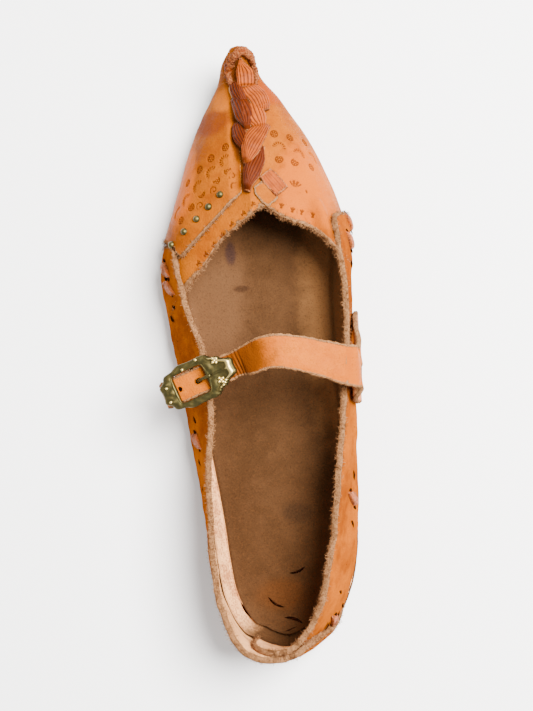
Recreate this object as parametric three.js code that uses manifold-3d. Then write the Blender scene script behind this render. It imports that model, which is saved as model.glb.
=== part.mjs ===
// A left shoe of the mary jane kind in vegetable-tanned leather: a pointed vamp with an upturned nose and
// a braid along its ridge, a quarter strip laced round the heel, a tooled overlay with five studs, and an
// instep strap that is buckled on the outer side. Millimetres, +Z up, +Y towards the toe, +X towards the
// inner side of the foot. The origin is on the floor, under the middle of the length.
import * as THREE from 'three';
import { mergeVertices } from 'three/addons/utils/BufferGeometryUtils.js';
import Module from 'manifold-3d';

const wasm = await Module();
wasm.setup();

// Driving dimensions
const LENGTH = 278; // heel to nose
const BALL_WIDTH = 91; // over the quarter strip, at the ball
const COLLAR_HEIGHT = 46; // at the back of the heel, above the floor
const RIDGE_HEIGHT = 46; // top of the instep, where the throat begins
const SOLE = 4.5; // thickness of the outsole
const TOE_SPRING = 15; // rise of the outsole at the nose
const WAIST_ARCH = 1.4; // rise of the outsole between heel and forefoot
const LEATHER = 2.6; // wall of the upper
const TUCK = 2.4; // how far the wall is drawn in where it meets the outsole
const SWELL_HEIGHT = 5; // from the foot of the wall up to its widest line
const SOLE_MARGIN = 0.6; // outsole past the foot of the wall
const OVERLAY = 2.2; // thickness of the tooled overlay
const INSOLE = 2; // thickness of the insole and of its rim
const RIM = 12; // height of the insole's rim above its floor
const GAP = 0.3; // between pieces that touch
const WIDE_GAP = 0.5; // between curved pieces whose facets don't run together
const BRAID_ROOM = 0.9; // left round the braid by what it lies beside
const FUSE = 0.8; // overlap of leaves that are joined into the one wall

// Strap and buckle
const STRAP = 2.2; // thickness
const STRAP_ROOT = 18; // width at the fold over the inner wall
const STRAP_END = 11.6; // width in the buckle
const STRAP_HOLE = 2.4; // diameter of a punched hole
const LEG_WIDTH = 9; // each leg of the strap's forked root
const TAB = 1.4; // thickness of the tab that holds the buckle
const TAB_WIDTH = 11;
const BUCKLE_LENGTH = 38;
const BUCKLE_WIDTH = 20.5;
const BUCKLE_PLATE = 2; // thickness of the buckle's frame
const WINDOW_LENGTH = 15.6;
const WINDOW_CLEARANCE = 0.6; // strap to the window's side
const BAR = 2; // diameter of the bar
const PRONG = 1.5; // diameter of the prong
const STUD = 3.4; // diameter of a stud's dome
const STUD_HEIGHT = 1.3;
const STUD_COUNT = 5;

// Braid over the ridge of the vamp
const BRAID_WIDTH = 14;
const BRAID_BASE = 1.6; // thickness between its strips
const BRAID_STRIP = 2.4; // how far a strip stands over that
const SIDE_TAB_WIDTH = 7;
const SIDE_TAB = 1.6; // thickness of the small ribbed tab beside the braid

// Sections from the heel to the nose. along is a share of LENGTH. The widths, at the widest line of the
// wall and at its shoulder, are shares of BALL_WIDTH from the centre line, outer side first. The shoulder
// is the top of the quarter strip, and further forward the bend where the vamp turns over. shift moves it
// along, as a share of LENGTH. Heights are shares of COLLAR_HEIGHT, and of RIDGE_HEIGHT at the ridge.
const SECTIONS = [
  // along, outer, inner, outerTop, innerTop, shift, outerHigh, innerHigh, ridge, ridgeHigh
  [0.007, -0.005, 0.005, 0.02, -0.02, 0.013, 1.0, 1.0, 0, 1],
  [0.02, 0.126, 0.126, 0.142, 0.072, 0.008, 1.0, 1.0, 0, 1],
  [0.05, 0.234, 0.24, 0.22, 0.146, 0.003, 0.99, 0.99, 0, 1],
  [0.1, 0.308, 0.324, 0.27, 0.22, 0, 0.975, 0.975, 0, 1],
  [0.16, 0.336, 0.369, 0.297, 0.262, 0, 0.955, 0.955, 0, 1],
  [0.235, 0.356, 0.385, 0.301, 0.297, 0, 0.935, 0.93, 0, 1],
  [0.315, 0.384, 0.396, 0.295, 0.33, 0, 0.91, 0.91, 0, 1],
  [0.4, 0.42, 0.408, 0.268, 0.369, 0, 0.87, 0.88, 0, 1],
  [0.5, 0.46, 0.414, 0.281, 0.404, 0, 0.835, 0.845, 0, 1],
  [0.6, 0.495, 0.422, 0.363, 0.416, 0, 0.78, 0.82, 0.005, 1],
  [0.66, 0.502, 0.442, 0.387, 0.395, 0, 0.72, 0.79, 0.005, 1],
  [0.71, 0.454, 0.432, 0.37, 0.365, 0, 0.68, 0.75, 0.005, 0.985],
  [0.76, 0.4, 0.396, 0.318, 0.314, 0, 0.65, 0.71, 0, 0.945],
  [0.806, 0.353, 0.345, 0.26, 0.262, 0, 0.63, 0.67, 0, 0.885],
  [0.85, 0.303, 0.284, 0.205, 0.205, 0, 0.6, 0.63, -0.003, 0.82],
  [0.89, 0.251, 0.215, 0.16, 0.145, 0.001, 0.57, 0.59, -0.012, 0.755],
  [0.925, 0.198, 0.146, 0.124, 0.088, 0.003, 0.56, 0.57, -0.024, 0.71],
  [0.955, 0.146, 0.072, 0.108, 0.056, 0.005, 0.6, 0.61, -0.026, 0.73],
  [0.974, 0.118, 0.046, 0.094, 0.046, 0.007, 0.68, 0.68, -0.022, 0.81],
  [0.986, 0.07, 0.018, 0.06, 0.022, 0.009, 0.76, 0.76, -0.018, 0.87],
].map(([along, outer, inner, outerTop, innerTop, shift, outerHigh, innerHigh, ridge, ridgeHigh]) => ({
  along, outer, inner, outerTop, innerTop, shift, outerHigh, innerHigh, ridge, ridgeHigh,
}));
const NOSE = SECTIONS.length - 1;
const OUTER = -1;
const INNER = 1;

// The underside of the outsole: heel and forefoot flat on the floor, the waist arched and the toe sprung.
// Its knots are shares of LENGTH.
const HEEL_FLAT_END = 0.22;
const WAIST_MIDDLE = 0.35;
const FOREFOOT_START = 0.48;
const SPRING_START = 0.8;
const SPRING_CURVE = 1.8; // power of the spring's rise
const smooth = THREE.MathUtils.smoothstep;

function soleBottom(y) {
  const along = y / LENGTH + 0.5;
  const arch = smooth(along, HEEL_FLAT_END, WAIST_MIDDLE) * (1 - smooth(along, WAIST_MIDDLE, FOREFOOT_START));
  const spring = Math.max(0, (along - SPRING_START) / (1 - SPRING_START));
  return WAIST_ARCH * arch + TOE_SPRING * spring ** SPRING_CURVE;
}
const soleTop = (y) => soleBottom(y) + SOLE;
const footHeight = (y) => soleTop(y) + GAP;

// Four lines run round the shoe: the foot of the wall, its widest line, its shoulder and the ridge.
// A place p on them counts sections from the heel, negative on the outer side.
function sectionPoints(k, side) {
  const row = SECTIONS[k];
  const y = (row.along - 0.5) * LENGTH;
  const wide = side * (side < 0 ? row.outer : row.inner) * BALL_WIDTH;
  const top = side * (side < 0 ? row.outerTop : row.innerTop) * BALL_WIDTH;
  const high = (side < 0 ? row.outerHigh : row.innerHigh) * COLLAR_HEIGHT;
  const shoulderY = y + row.shift * LENGTH;
  const swell = new THREE.Vector3(wide, y, footHeight(y) + SWELL_HEIGHT);
  const shoulder = new THREE.Vector3(top, shoulderY, high);
  const ridge = new THREE.Vector3(row.ridge * BALL_WIDTH, shoulderY, row.ridgeHigh * RIDGE_HEIGHT);
  return { swell, shoulder, ridge };
}

function lineThrough(name) {
  const points = [];
  for (let k = NOSE; k > 0; k -= 1) points.push(sectionPoints(k, OUTER)[name]);
  for (let k = 0; k <= NOSE; k += 1) points.push(sectionPoints(k, INNER)[name]);
  const curve = new THREE.CatmullRomCurve3(points, false, 'centripetal');
  return (p) => curve.getPoint((THREE.MathUtils.clamp(p, -NOSE, NOSE) + NOSE) / (2 * NOSE));
}
const swellLine = lineThrough('swell');
const shoulderLine = lineThrough('shoulder');
const ridgeLine = lineThrough('ridge');

const NEAR = 0.02; // step, in sections and in v, over which a surface's directions are read

// Outward direction in plan at p, square to the widest line.
function outward(p) {
  const along = swellLine(p + 2 * NEAR).sub(swellLine(p - 2 * NEAR));
  return new THREE.Vector3(along.y, -along.x, 0).normalize();
}

// Direction along the wall at p, towards the toe.
const alongWall = (p) => outward(p).cross(new THREE.Vector3(0, 0, -Math.sign(p)));

function footPoint(p) {
  const at = swellLine(p).addScaledVector(outward(p), -TUCK);
  at.z = footHeight(at.y);
  return at;
}

// One profile up the wall at p: v is 0 at the foot, SHOULDER at the shoulder and 1 at the ridge. A plain
// wall runs on past its shoulder in a straight line, and an arch turns over to the ridge.
const SHOULDER = 2 / 3;

function profile(p, isArch) {
  const foot = footPoint(p);
  const swell = swellLine(p);
  const shoulder = shoulderLine(p);
  const last = isArch ? ridgeLine(p) : shoulder.clone().add(shoulder.clone().sub(swell).multiplyScalar(0.5));
  return new THREE.CatmullRomCurve3([foot, swell, shoulder, last], false, 'centripetal');
}

function surfaceNormal(p, v, isArch) {
  const here = profile(p, isArch);
  const up = here.getPoint(Math.min(1, v + NEAR)).sub(here.getPoint(Math.max(0, v - NEAR)));
  const along = profile(p + NEAR, isArch).getPoint(v).sub(profile(p - NEAR, isArch).getPoint(v));
  const normal = up.cross(along).negate();
  if (normal.dot(outward(p)) < 0 && v < 0.5) normal.negate();
  normal.z = Math.max(normal.z, 0);
  return normal.normalize();
}

// A point of the wall, moved out by grow from the line between vamp and quarter strip.
function wallPoint(p, v, grow, isArch = false) {
  const at = profile(p, isArch).getPoint(v);
  let normal = surfaceNormal(p, v, isArch);
  if (isArch && v === 1) normal = normal.add(surfaceNormal(-p, v, isArch)).normalize();
  at.addScaledVector(normal, grow);
  if (v === 0) at.z = footHeight(at.y);
  return at;
}

// Solids. A Builder collects quads between rows of points and welds them into one closed solid.
class Builder {
  constructor() {
    this.corners = [];
  }

  quad(a, b, c, d) {
    this.corners.push(a, b, c, a, c, d);
  }

  grid(rows, isFlipped = false) {
    for (let i = 0; i + 1 < rows.length; i += 1) {
      for (let j = 0; j + 1 < rows[i].length; j += 1) {
        const [a, b, c, d] = [rows[i][j], rows[i][j + 1], rows[i + 1][j + 1], rows[i + 1][j]];
        if (isFlipped) this.quad(a, d, c, b);
        else this.quad(a, b, c, d);
      }
    }
  }

  solid() {
    const geometry = new THREE.BufferGeometry().setFromPoints(this.corners);
    return solidOf(geometry);
  }
}

const WELD = 1e-3;

function solidOf(geometry) {
  const bare = geometry.index ? geometry.toNonIndexed() : geometry.clone();
  bare.deleteAttribute('normal');
  bare.deleteAttribute('uv');
  const welded = mergeVertices(bare, WELD);
  const index = [];
  for (let i = 0; i < welded.index.count; i += 3) {
    const [a, b, c] = [welded.index.getX(i), welded.index.getX(i + 1), welded.index.getX(i + 2)];
    if (a !== b && b !== c && c !== a) index.push(a, b, c);
  }
  const vertProperties = new Float32Array(welded.attributes.position.array);
  const make = () => {
    const triVerts = new Uint32Array(index);
    return new wasm.Manifold(new wasm.Mesh({ numProp: 3, vertProperties, triVerts }));
  };
  const made = make();
  if (made.volume() >= 0) return made;
  for (let i = 0; i < index.length; i += 3) [index[i + 1], index[i + 2]] = [index[i + 2], index[i + 1]];
  return make();
}

function geometryOf(solid) {
  const { vertProperties, numProp, triVerts } = solid.getMesh();
  const geometry = new THREE.BufferGeometry();
  const corners = vertProperties.length / numProp;
  const flat = new Float32Array(corners * 3);
  for (let i = 0; i < corners; i += 1) {
    flat.set(vertProperties.subarray(i * numProp, i * numProp + 3), i * 3);
  }
  geometry.setAttribute('position', new THREE.BufferAttribute(flat, 3));
  geometry.setIndex(new THREE.BufferAttribute(new Uint32Array(triVerts), 1));
  const faceted = geometry.toNonIndexed();
  faceted.computeVertexNormals();
  return faceted;
}

const steps = (from, to, count) =>
  Array.from({ length: count + 1 }, (_, i) => from + ((to - from) * i) / count);

// Two faces over the same grid, the outer one and the inner one, closed at their four edges.
function closedBetween(outer, inner) {
  const builder = new Builder();
  const last = outer.length - 1;
  const top = outer[0].length - 1;
  builder.grid(outer);
  builder.grid(inner, true);
  builder.grid(outer.map((row, i) => [inner[i][0], row[0]]));
  builder.grid(outer.map((row, i) => [row[top], inner[i][top]]));
  builder.grid(outer[0].map((corner, j) => [corner, inner[0][j]]));
  builder.grid(outer[last].map((corner, j) => [corner, inner[last][j]]), true);
  return builder.solid();
}

// A solid across the shoe: at each place its outer and inner sides rise through the levels.
function crossSolid(places, levels, pointAt) {
  const side = (sign) => places.map((s) => levels.map((level) => pointAt(sign, s, level)));
  return closedBetween(side(OUTER), side(INNER));
}

// A leaf of leather: pointAt gives its inner and outer face.
function leafSolid(places, levels, innerAt, outerAt) {
  const face = (pointAt) => places.map((place) => levels.map((level) => pointAt(place, level)));
  return closedBetween(face(outerAt), face(innerAt));
}

// An outline in plan, standing through the whole height of the shoe.
const inPlan = (across, along) => new THREE.Vector2(across * BALL_WIDTH, (along - 0.5) * LENGTH);

function planSolid(corners) {
  const shape = new THREE.Shape(corners.map(([across, along]) => inPlan(across, along)));
  const height = 3 * COLLAR_HEIGHT;
  const geometry = new THREE.ExtrudeGeometry(shape, { depth: height, bevelEnabled: false });
  return solidOf(geometry.translate(0, 0, -height / 3));
}

// A flat strip of leather along a path. Each stop gives its middle, the direction across it and its width.
function stripSolid(stops, thickness, count) {
  const middle = new THREE.CatmullRomCurve3(stops.map((s) => s.at), false, 'centripetal');
  const across = new THREE.CatmullRomCurve3(stops.map((s) => s.across), false, 'catmullrom');
  const sized = stops.map((s) => new THREE.Vector3(s.width, 0, 0));
  const widths = new THREE.CatmullRomCurve3(sized, false, 'catmullrom');
  const frames = steps(0, 1, count).map((t) => {
    const tangent = middle.getTangent(t);
    const side = across.getPoint(t);
    side.addScaledVector(tangent, -side.dot(tangent)).normalize();
    const normal = tangent.clone().cross(side).normalize();
    return { at: middle.getPoint(t), side, normal, width: widths.getPoint(t).x };
  });
  const corner = (f, x, z) => {
    const edge = f.at.clone().addScaledVector(f.side, (x * f.width) / 2);
    return edge.addScaledVector(f.normal, (z * thickness) / 2);
  };
  const inner = frames.map((f) => [corner(f, -1, -1), corner(f, 1, -1)]);
  const outer = frames.map((f) => [corner(f, -1, 1), corner(f, 1, 1)]);
  return closedBetween(outer, inner);
}

// Outsole
const SOLE_PLACES = [0.03, 0.3, 0.6, ...steps(1, NOSE - 0.2, 36)];
const SOLE_CHAMFER = 1;
const STRIP_PASSED = [10.1, 12.6]; // where the overlay takes over from the strip that covers the wall

function outsoleSolid() {
  return crossSolid(SOLE_PLACES, [0, 1, 2], (side, s, level) => {
    const p = side * s;
    const pastStrip = smooth(s, ...STRIP_PASSED);
    const covered = THREE.MathUtils.lerp(LEATHER, side < 0 ? OVERLAY + GAP : 0, pastStrip);
    const inset = level === 0 ? SOLE_CHAMFER : 0;
    const at = footPoint(p).addScaledVector(outward(p), covered + SOLE_MARGIN - inset);
    at.z = soleBottom(at.y) + [0, SOLE_CHAMFER, SOLE][level];
    return at;
  });
}

// The quarter: an outer strip that starts beside the vamp and ends round the back of the heel, and an
// inner strip that starts on the inner side and ends inside the heel. Their ends and the vamp's back edge
// are counted in sections.
const VAMP_START = 8.3;
const OUTER_STRIP_FRONT = 10.6;
const INNER_STRIP_FRONT = 11.25;
const OUTER_STRIP_END = 1.5;
const OUTER_STRIP_SLANT = 1.3; // further on at the foot of the wall than at its top
const INNER_STRIP_END = 1.6;
const FRONT_ROUND = 3.3; // how much the front ends are rounded off
const FRONT_TIP = 0.55; // level of their foremost point, as a share of the wall's height
const SECTION_PITCH = LENGTH / NOSE; // mean distance between sections
const FLARE = 2.2; // how far the inner strip's front stands off the vamp
const FLARE_LENGTH = 2.2; // length of that flare, in sections

// Off the line between vamp and quarter: how far the inner strip's inner face stands out. The strip lies
// inside the outer strip at the heel, and comes out to lie outside the vamp.
const CROSSING = [3, 5.5];
const innerStripSeat = (p) => (LEATHER - FUSE) * (p > 0 ? smooth(p, ...CROSSING) : 0) - LEATHER;

// How far in the upper's inner face lies, at a place that clears both the vamp and the heel's inner strip.
const VAMP_CLEARED = [VAMP_START - 1.4, VAMP_START - 0.5];
const HEEL_CLEARED = [INNER_STRIP_END + 0.3, INNER_STRIP_END + 1.4];

function innerFace(side, s) {
  const atVamp = smooth(s, ...VAMP_CLEARED);
  const atHeel = side < 0 ? 1 - smooth(s, ...HEEL_CLEARED) : 0;
  const strip = side < 0 ? -FUSE : innerStripSeat(s);
  return THREE.MathUtils.lerp(strip, -LEATHER, Math.max(atVamp, atHeel));
}

function quarterStrip(levels, seatAt, placeAt, clearance) {
  const pointAt = (extra) => (t, v) => {
    const p = placeAt(t, v);
    return wallPoint(p, v, seatAt(p, v) + extra);
  };
  return leafSolid(steps(0, 1, STRIP_STEPS), levels, pointAt(-clearance), pointAt(LEATHER + clearance));
}

const STRIP_LEVELS = [0, 0.12, 0.25, 0.36, 0.48, 0.58, SHOULDER];
const STRIP_STEPS = 38;
const roundedFront = (front, v) => front - FRONT_ROUND * Math.abs(v / SHOULDER - FRONT_TIP) ** 3;
const flare = (p, v, front, most) =>
  most * smooth(Math.abs(p), front - FLARE_LENGTH, front) * (v / SHOULDER) ** 2;

// The outer strip, or with a clearance the room that it needs.
function outerStripSolid(clearance = 0) {
  const levels = [...STRIP_LEVELS.slice(0, -1), SHOULDER * (1 + clearance / COLLAR_HEIGHT)];
  const seat = (p, v) => flare(p, v, OUTER_STRIP_FRONT, FLARE / 2) - FUSE;
  const place = (t, v) => {
    const start = -roundedFront(OUTER_STRIP_FRONT, v) - clearance / SECTION_PITCH;
    const end = OUTER_STRIP_END + OUTER_STRIP_SLANT * (1 - v / SHOULDER);
    return THREE.MathUtils.lerp(start, end, t);
  };
  return quarterStrip(levels, seat, place, clearance);
}

function innerStripSolid() {
  const seat = (p, v) => innerStripSeat(p) + flare(p, v, INNER_STRIP_FRONT, FLARE);
  const place = (t, v) => THREE.MathUtils.lerp(roundedFront(INNER_STRIP_FRONT, v), -INNER_STRIP_END, t);
  return quarterStrip(STRIP_LEVELS, seat, place, 0);
}

const upperSolid = () => vampSolid().add(outerStripSolid()).add(innerStripSolid());

// The vamp: the wall between two arched forms, cut away behind the throat's edge. Its plan points are
// shares of BALL_WIDTH from the centre line and of LENGTH from the heel.
const VAMP_HOLLOW_END = 16.9; // past this the nose is solid
const ARCH_LEVELS = [0, 0.1, 0.2, 0.32, 0.44, 0.56, SHOULDER, 0.76, 0.84, 0.92, 1];
const ARCH_PLACES = 1.8; // places in each section
const PAST = 0.3; // how far cutting forms run past what they cut, in sections
const archPlaces = (from, to) => steps(from, to, Math.ceil((to - from) * ARCH_PLACES));

function archSolid(grow, from, to, drop) {
  const levels = drop > 0 ? [-1, ...ARCH_LEVELS] : ARCH_LEVELS;
  return crossSolid(archPlaces(from, to), levels, (side, s, v) => {
    const at = wallPoint(side * s, Math.max(v, 0), grow, true);
    if (v < 0) at.z -= drop;
    return at;
  });
}

const THROAT = [
  [-0.62, 0.54], [-0.478, 0.575], [-0.364, 0.618], [-0.278, 0.645], [-0.176, 0.687], [-0.107, 0.704],
  [-0.015, 0.724], [0.062, 0.736], [0.14, 0.719], [0.209, 0.708], [0.301, 0.697], [0.353, 0.675],
  [0.398, 0.658], [0.62, 0.6], [0.62, 0.2], [-0.62, 0.2],
];

function vampSolid() {
  const hollow = archSolid(-LEATHER, VAMP_START - PAST, VAMP_HOLLOW_END, SOLE);
  return archSolid(0, VAMP_START, NOSE, 0).subtract(hollow).subtract(planSolid(THROAT));
}

// The tooled overlay on the outer half of the vamp, between the ridge and its own slanting edge.
const OVERLAY_PLAN = [
  [-0.03, 0.765], [-0.371, 0.668], [-0.424, 0.686], [-0.62, 0.712], [-0.62, 0.95], [-0.045, 0.95],
];
const OVERLAY_FRONT = 16.6;

function overlaySolid() {
  const under = archSolid(GAP, VAMP_START, OVERLAY_FRONT + PAST, SOLE);
  const over = archSolid(GAP + OVERLAY, VAMP_START + PAST, OVERLAY_FRONT, 0);
  const whole = over.subtract(under).intersect(planSolid(OVERLAY_PLAN));
  return whole.subtract(outerStripSolid(WIDE_GAP)).subtract(braidSolid(BRAID_ROOM));
}

// The insole: a leaf that lies on the outsole, its rim turned up inside the wall.
const INSOLE_FRONT = NOSE - 3;

// The share of the profile at p that lies rise above its foot.
function levelAt(p, rise) {
  if (rise < SWELL_HEIGHT) return ((rise / SWELL_HEIGHT) * SHOULDER) / 2;
  const height = shoulderLine(p).z - swellLine(p).z;
  return (SHOULDER / 2) * (1 + (rise - SWELL_HEIGHT) / height);
}

function insoleSolid() {
  const tub = (front, inset, low, high) => {
    const places = [...steps(0, 4, 14), ...steps(4.5, front, 20)]; // closer together round the heel
    return crossSolid(places, steps(low, high, 3), (side, s, rise) => {
      const p = side * s;
      const at = wallPoint(p, levelAt(p, rise), innerFace(side, s) - WIDE_GAP - inset, s > VAMP_START);
      if (rise === low) at.z = footHeight(at.y) + low;
      return at;
    });
  };
  const hollow = tub(INSOLE_FRONT + PAST, INSOLE, INSOLE, INSOLE + RIM + SOLE);
  return tub(INSOLE_FRONT, 0, 0, INSOLE + RIM).subtract(hollow);
}

// Where a line round the shoe passes a place along it, in sections.
function sectionAt(line, side, y) {
  let [low, high] = [0.5, NOSE];
  for (let k = 0; k < 30; k += 1) {
    const middle = (low + high) / 2;
    if (line(side * middle).y < y) low = middle;
    else high = middle;
  }
  return side * ((low + high) / 2);
}

// The point of the vamp that lies over a place in plan, moved out by grow, and the way out there.
function onVamp(x, y, grow) {
  const ridgeX = ridgeLine(sectionAt(ridgeLine, INNER, y)).x;
  const side = x < ridgeX ? OUTER : INNER;
  const step = 0.01;
  const pointAt = (s, v) => profile(side * s, true).getPoint(v);
  let s = Math.abs(sectionAt(shoulderLine, side, y));
  let v = (SHOULDER + 1) / 2;
  for (let k = 0; k < 8; k += 1) {
    const at = pointAt(s, v);
    const alongS = pointAt(s + step, v).sub(at).divideScalar(step);
    const alongV = pointAt(s, v - step).sub(at).divideScalar(-step);
    const [missX, missY] = [x - at.x, y - at.y];
    const area = alongS.x * alongV.y - alongS.y * alongV.x;
    s += (missX * alongV.y - missY * alongV.x) / area;
    v = Math.min(v + (alongS.x * missY - alongS.y * missX) / area, 1 - step);
  }
  const normal = surfaceNormal(side * s, v, true);
  return { at: pointAt(s, v).addScaledVector(normal, grow), normal };
}

// Toe braid: one strip of leather along the ridge, with the plait's strips raised on it. Each strip is a
// leaf whose middle lies at along, a share of LENGTH, and at across, a share of BRAID_WIDTH from the ridge.
// Its length and width are shares of BRAID_WIDTH, and turn is how far it leans, in degrees.
const BRAID_STRIPS = [
  // along, across, long, wide, turn
  [0.783, 0.02, 1.25, 0.6, 14],
  [0.822, 0.25, 1.1, 0.62, -24],
  [0.855, -0.24, 0.95, 0.56, 20],
  [0.878, 0.27, 0.9, 0.58, -24],
  [0.893, -0.22, 1.1, 0.6, 18],
  [0.917, 0.24, 0.9, 0.56, -20],
  [0.931, -0.22, 0.75, 0.5, 20],
  [0.957, 0.02, 1.1, 0.66, 0],
].map(([along, across, long, wide, turn]) => ({ along, across, long, wide, turn }));
const BRAID_FROM = 12.25;
const BRAID_TO = 18.4;
const BRAID_NARROWS = 15.5; // from here on it narrows towards the nose
const BRAID_NECK = 0.5; // its width at the nose, as a share of BRAID_WIDTH
const BRAID_TIP = [BRAID_FROM - 0.35, BRAID_FROM + 0.75]; // where it widens from its rounded end
const BRAID_ROWS = 34;
const BRAID_COLUMNS = 8;

function braidHeight(x, y) {
  const heights = BRAID_STRIPS.map((strip) => {
    const [dx, dy] = [x / BRAID_WIDTH - strip.across, (y - (strip.along - 0.5) * LENGTH) / BRAID_WIDTH];
    const turn = THREE.MathUtils.degToRad(strip.turn);
    const across = (dx * Math.cos(turn) - dy * Math.sin(turn)) / (strip.wide / 2);
    const along = (dx * Math.sin(turn) + dy * Math.cos(turn)) / (strip.long / 2);
    return Math.max(0, 1 - (across ** 2 + along ** 2) ** 2);
  });
  return BRAID_BASE + BRAID_STRIP * Math.sqrt(Math.max(...heights));
}

function braidSolid(clearance = 0) {
  const halfWidth = (s) => {
    const neck = THREE.MathUtils.lerp(1, BRAID_NECK, smooth(s, BRAID_NARROWS, BRAID_TO));
    const tip = Math.sqrt(smooth(s, ...BRAID_TIP));
    return (BRAID_WIDTH / 2) * neck * tip + clearance;
  };
  const pointAt = (s, t, growAt) => {
    const p = (t < 0 ? OUTER : INNER) * s;
    const curve = profile(p, true);
    const girth = curve.getPoint(SHOULDER).distanceTo(curve.getPoint(1)) / (1 - SHOULDER);
    const across = halfWidth(s) * t;
    const v = 1 - Math.abs(across) / girth;
    return wallPoint(p, v, growAt(across, ridgeLine(p).y), true);
  };
  const outer = (s, t) => pointAt(s, t, (x, y) => GAP + clearance + braidHeight(x, y));
  const inner = (s, t) => pointAt(s, t, () => GAP - 2 * clearance);
  const places = steps(BRAID_FROM - clearance / SECTION_PITCH, BRAID_TO, BRAID_ROWS);
  return leafSolid(places, steps(-1, 1, BRAID_COLUMNS), inner, outer);
}

// The small ribbed tab that leaves the braid towards the inner side, above the throat.
const SIDE_TAB_FROM = { across: 0.05, along: 0.79 };
const SIDE_TAB_TO = { across: 0.185, along: 0.744 };

function sideTabSolid() {
  const [from, to] = [SIDE_TAB_FROM, SIDE_TAB_TO].map(({ across, along }) => inPlan(across, along));
  const way = to.clone().sub(from).normalize();
  const pointAt = (grow) => (q, t) => {
    const plan = from.clone().lerp(to, q);
    const across = (SIDE_TAB_WIDTH / 2) * t;
    return onVamp(plan.x + way.y * across, plan.y - way.x * across, grow).at;
  };
  const tab = leafSolid(steps(0, 1, 8), steps(-1, 1, 4), pointAt(GAP), pointAt(GAP + SIDE_TAB));
  return tab.subtract(braidSolid(BRAID_ROOM));
}

// Studs, in a row beside the overlay's slanting edge.
const STUD_INSET = 4.4; // from the overlay's edge
const STUD_FIRST = 0.2; // along that edge, as a share of its length
const STUD_LAST = 0.93;
const STUD_SIDES = 10;

function studSolid(index) {
  const [start, end] = OVERLAY_PLAN.map(([across, along]) => inPlan(across, along));
  const way = end.clone().sub(start).normalize();
  const share = THREE.MathUtils.lerp(STUD_FIRST, STUD_LAST, index / (STUD_COUNT - 1));
  const inset = new THREE.Vector2(way.y, -way.x).multiplyScalar(STUD_INSET);
  const plan = start.clone().lerp(end, share).add(inset);
  const { at, normal } = onVamp(plan.x, plan.y, OVERLAY + 2 * GAP);
  const dome = steps(0, Math.PI / 2, 3).map(
    (a) => new THREE.Vector2((STUD / 2) * Math.cos(a), (STUD_HEIGHT - GAP) * Math.sin(a) + GAP),
  );
  dome[3].x = 0;
  const points = [new THREE.Vector2(0, 0), new THREE.Vector2(STUD / 2, 0), ...dome];
  const geometry = new THREE.LatheGeometry(points, STUD_SIDES).rotateX(Math.PI / 2);
  const turn = new THREE.Quaternion().setFromUnitVectors(new THREE.Vector3(0, 0, 1), normal);
  return solidOf(geometry.applyQuaternion(turn).translate(at.x, at.y, at.z));
}

// The buckle's own frame: u along the strap towards the instep, w across it towards the toe, n out of it.
const BUCKLE_PLACE = { across: -0.307, along: 0.464, high: 1.05 };
const BUCKLE_BEARING = 15; // degrees in plan, from the shoe's cross direction
const BUCKLE_SLOPE = 13; // degrees that it rises towards the instep
const BUCKLE_SIDES = 44;
const WINDOW_SHIFT = -3.4; // middle of the window from the buckle's middle
const buckleMiddle = new THREE.Vector3(
  BUCKLE_PLACE.across * BALL_WIDTH,
  (BUCKLE_PLACE.along - 0.5) * LENGTH,
  BUCKLE_PLACE.high * COLLAR_HEIGHT,
);
const radians = THREE.MathUtils.degToRad;
const buckleTurn = new THREE.Quaternion().setFromEuler(
  new THREE.Euler(0, radians(-BUCKLE_SLOPE), radians(BUCKLE_BEARING), 'ZYX'),
);
const inBuckle = (u, w, n) => new THREE.Vector3(u, w, n).applyQuaternion(buckleTurn).add(buckleMiddle);
const placeInBuckle = (geometry) =>
  solidOf(geometry.applyQuaternion(buckleTurn).translate(...buckleMiddle.toArray()));

const WINDOW_WIDTH = STRAP_END + 2 * WINDOW_CLEARANCE;
const STRAP_SEAT = -(BUCKLE_PLATE / 2 + GAP + STRAP / 2); // middle of the strap under the plate
const BAR_SEAT = STRAP_SEAT - STRAP / 2 - TAB - 2 * GAP - BAR / 2;
const POST = 1.6; // thickness of the posts that carry the bar
const PRONG_RING = BAR / 2 + GAP + PRONG / 2;
const PRONG_REACH = 2.2; // prong's end past the window
const PRONG_HOLE = WINDOW_SHIFT + PRONG_RING + 0.6; // middle of the strap's hole, in the buckle's frame
const HOLE_LENGTH = 4; // of the slot that the prong has worn in the strap

// Outline of the frame: a lobed oval whose end towards the instep is drawn out into a leaf.
const LOBES = 6;
const LOBE_DEPTH = 0.06;
const LEAF_WAIST = 0.64;
const BUCKLE_FULLNESS = 0.8; // under 1 the oval is fuller than an ellipse

function buckleOutline() {
  const shape = new THREE.Shape();
  for (let i = 0; i < BUCKLE_SIDES; i += 1) {
    const angle = (2 * Math.PI * i) / BUCKLE_SIDES;
    const [c, s] = [Math.cos(angle), Math.sin(angle)];
    const lobes = 1 - LOBE_DEPTH * Math.cos(LOBES * angle) ** 2;
    const leaf = 1 - LEAF_WAIST * Math.max(0, c) ** 2 * s ** 2;
    const u = (BUCKLE_LENGTH / 2) * Math.sign(c) * Math.abs(c) ** BUCKLE_FULLNESS * lobes * leaf;
    const w = (BUCKLE_WIDTH / 2) * Math.sign(s) * Math.abs(s) ** BUCKLE_FULLNESS * lobes * leaf;
    if (i === 0) shape.moveTo(u, w);
    else shape.lineTo(u, w);
  }
  return shape;
}

function boxAt(sizeU, sizeW, sizeN, u, w, n) {
  return placeInBuckle(new THREE.BoxGeometry(sizeU, sizeW, sizeN).translate(u, w, n));
}

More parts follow.
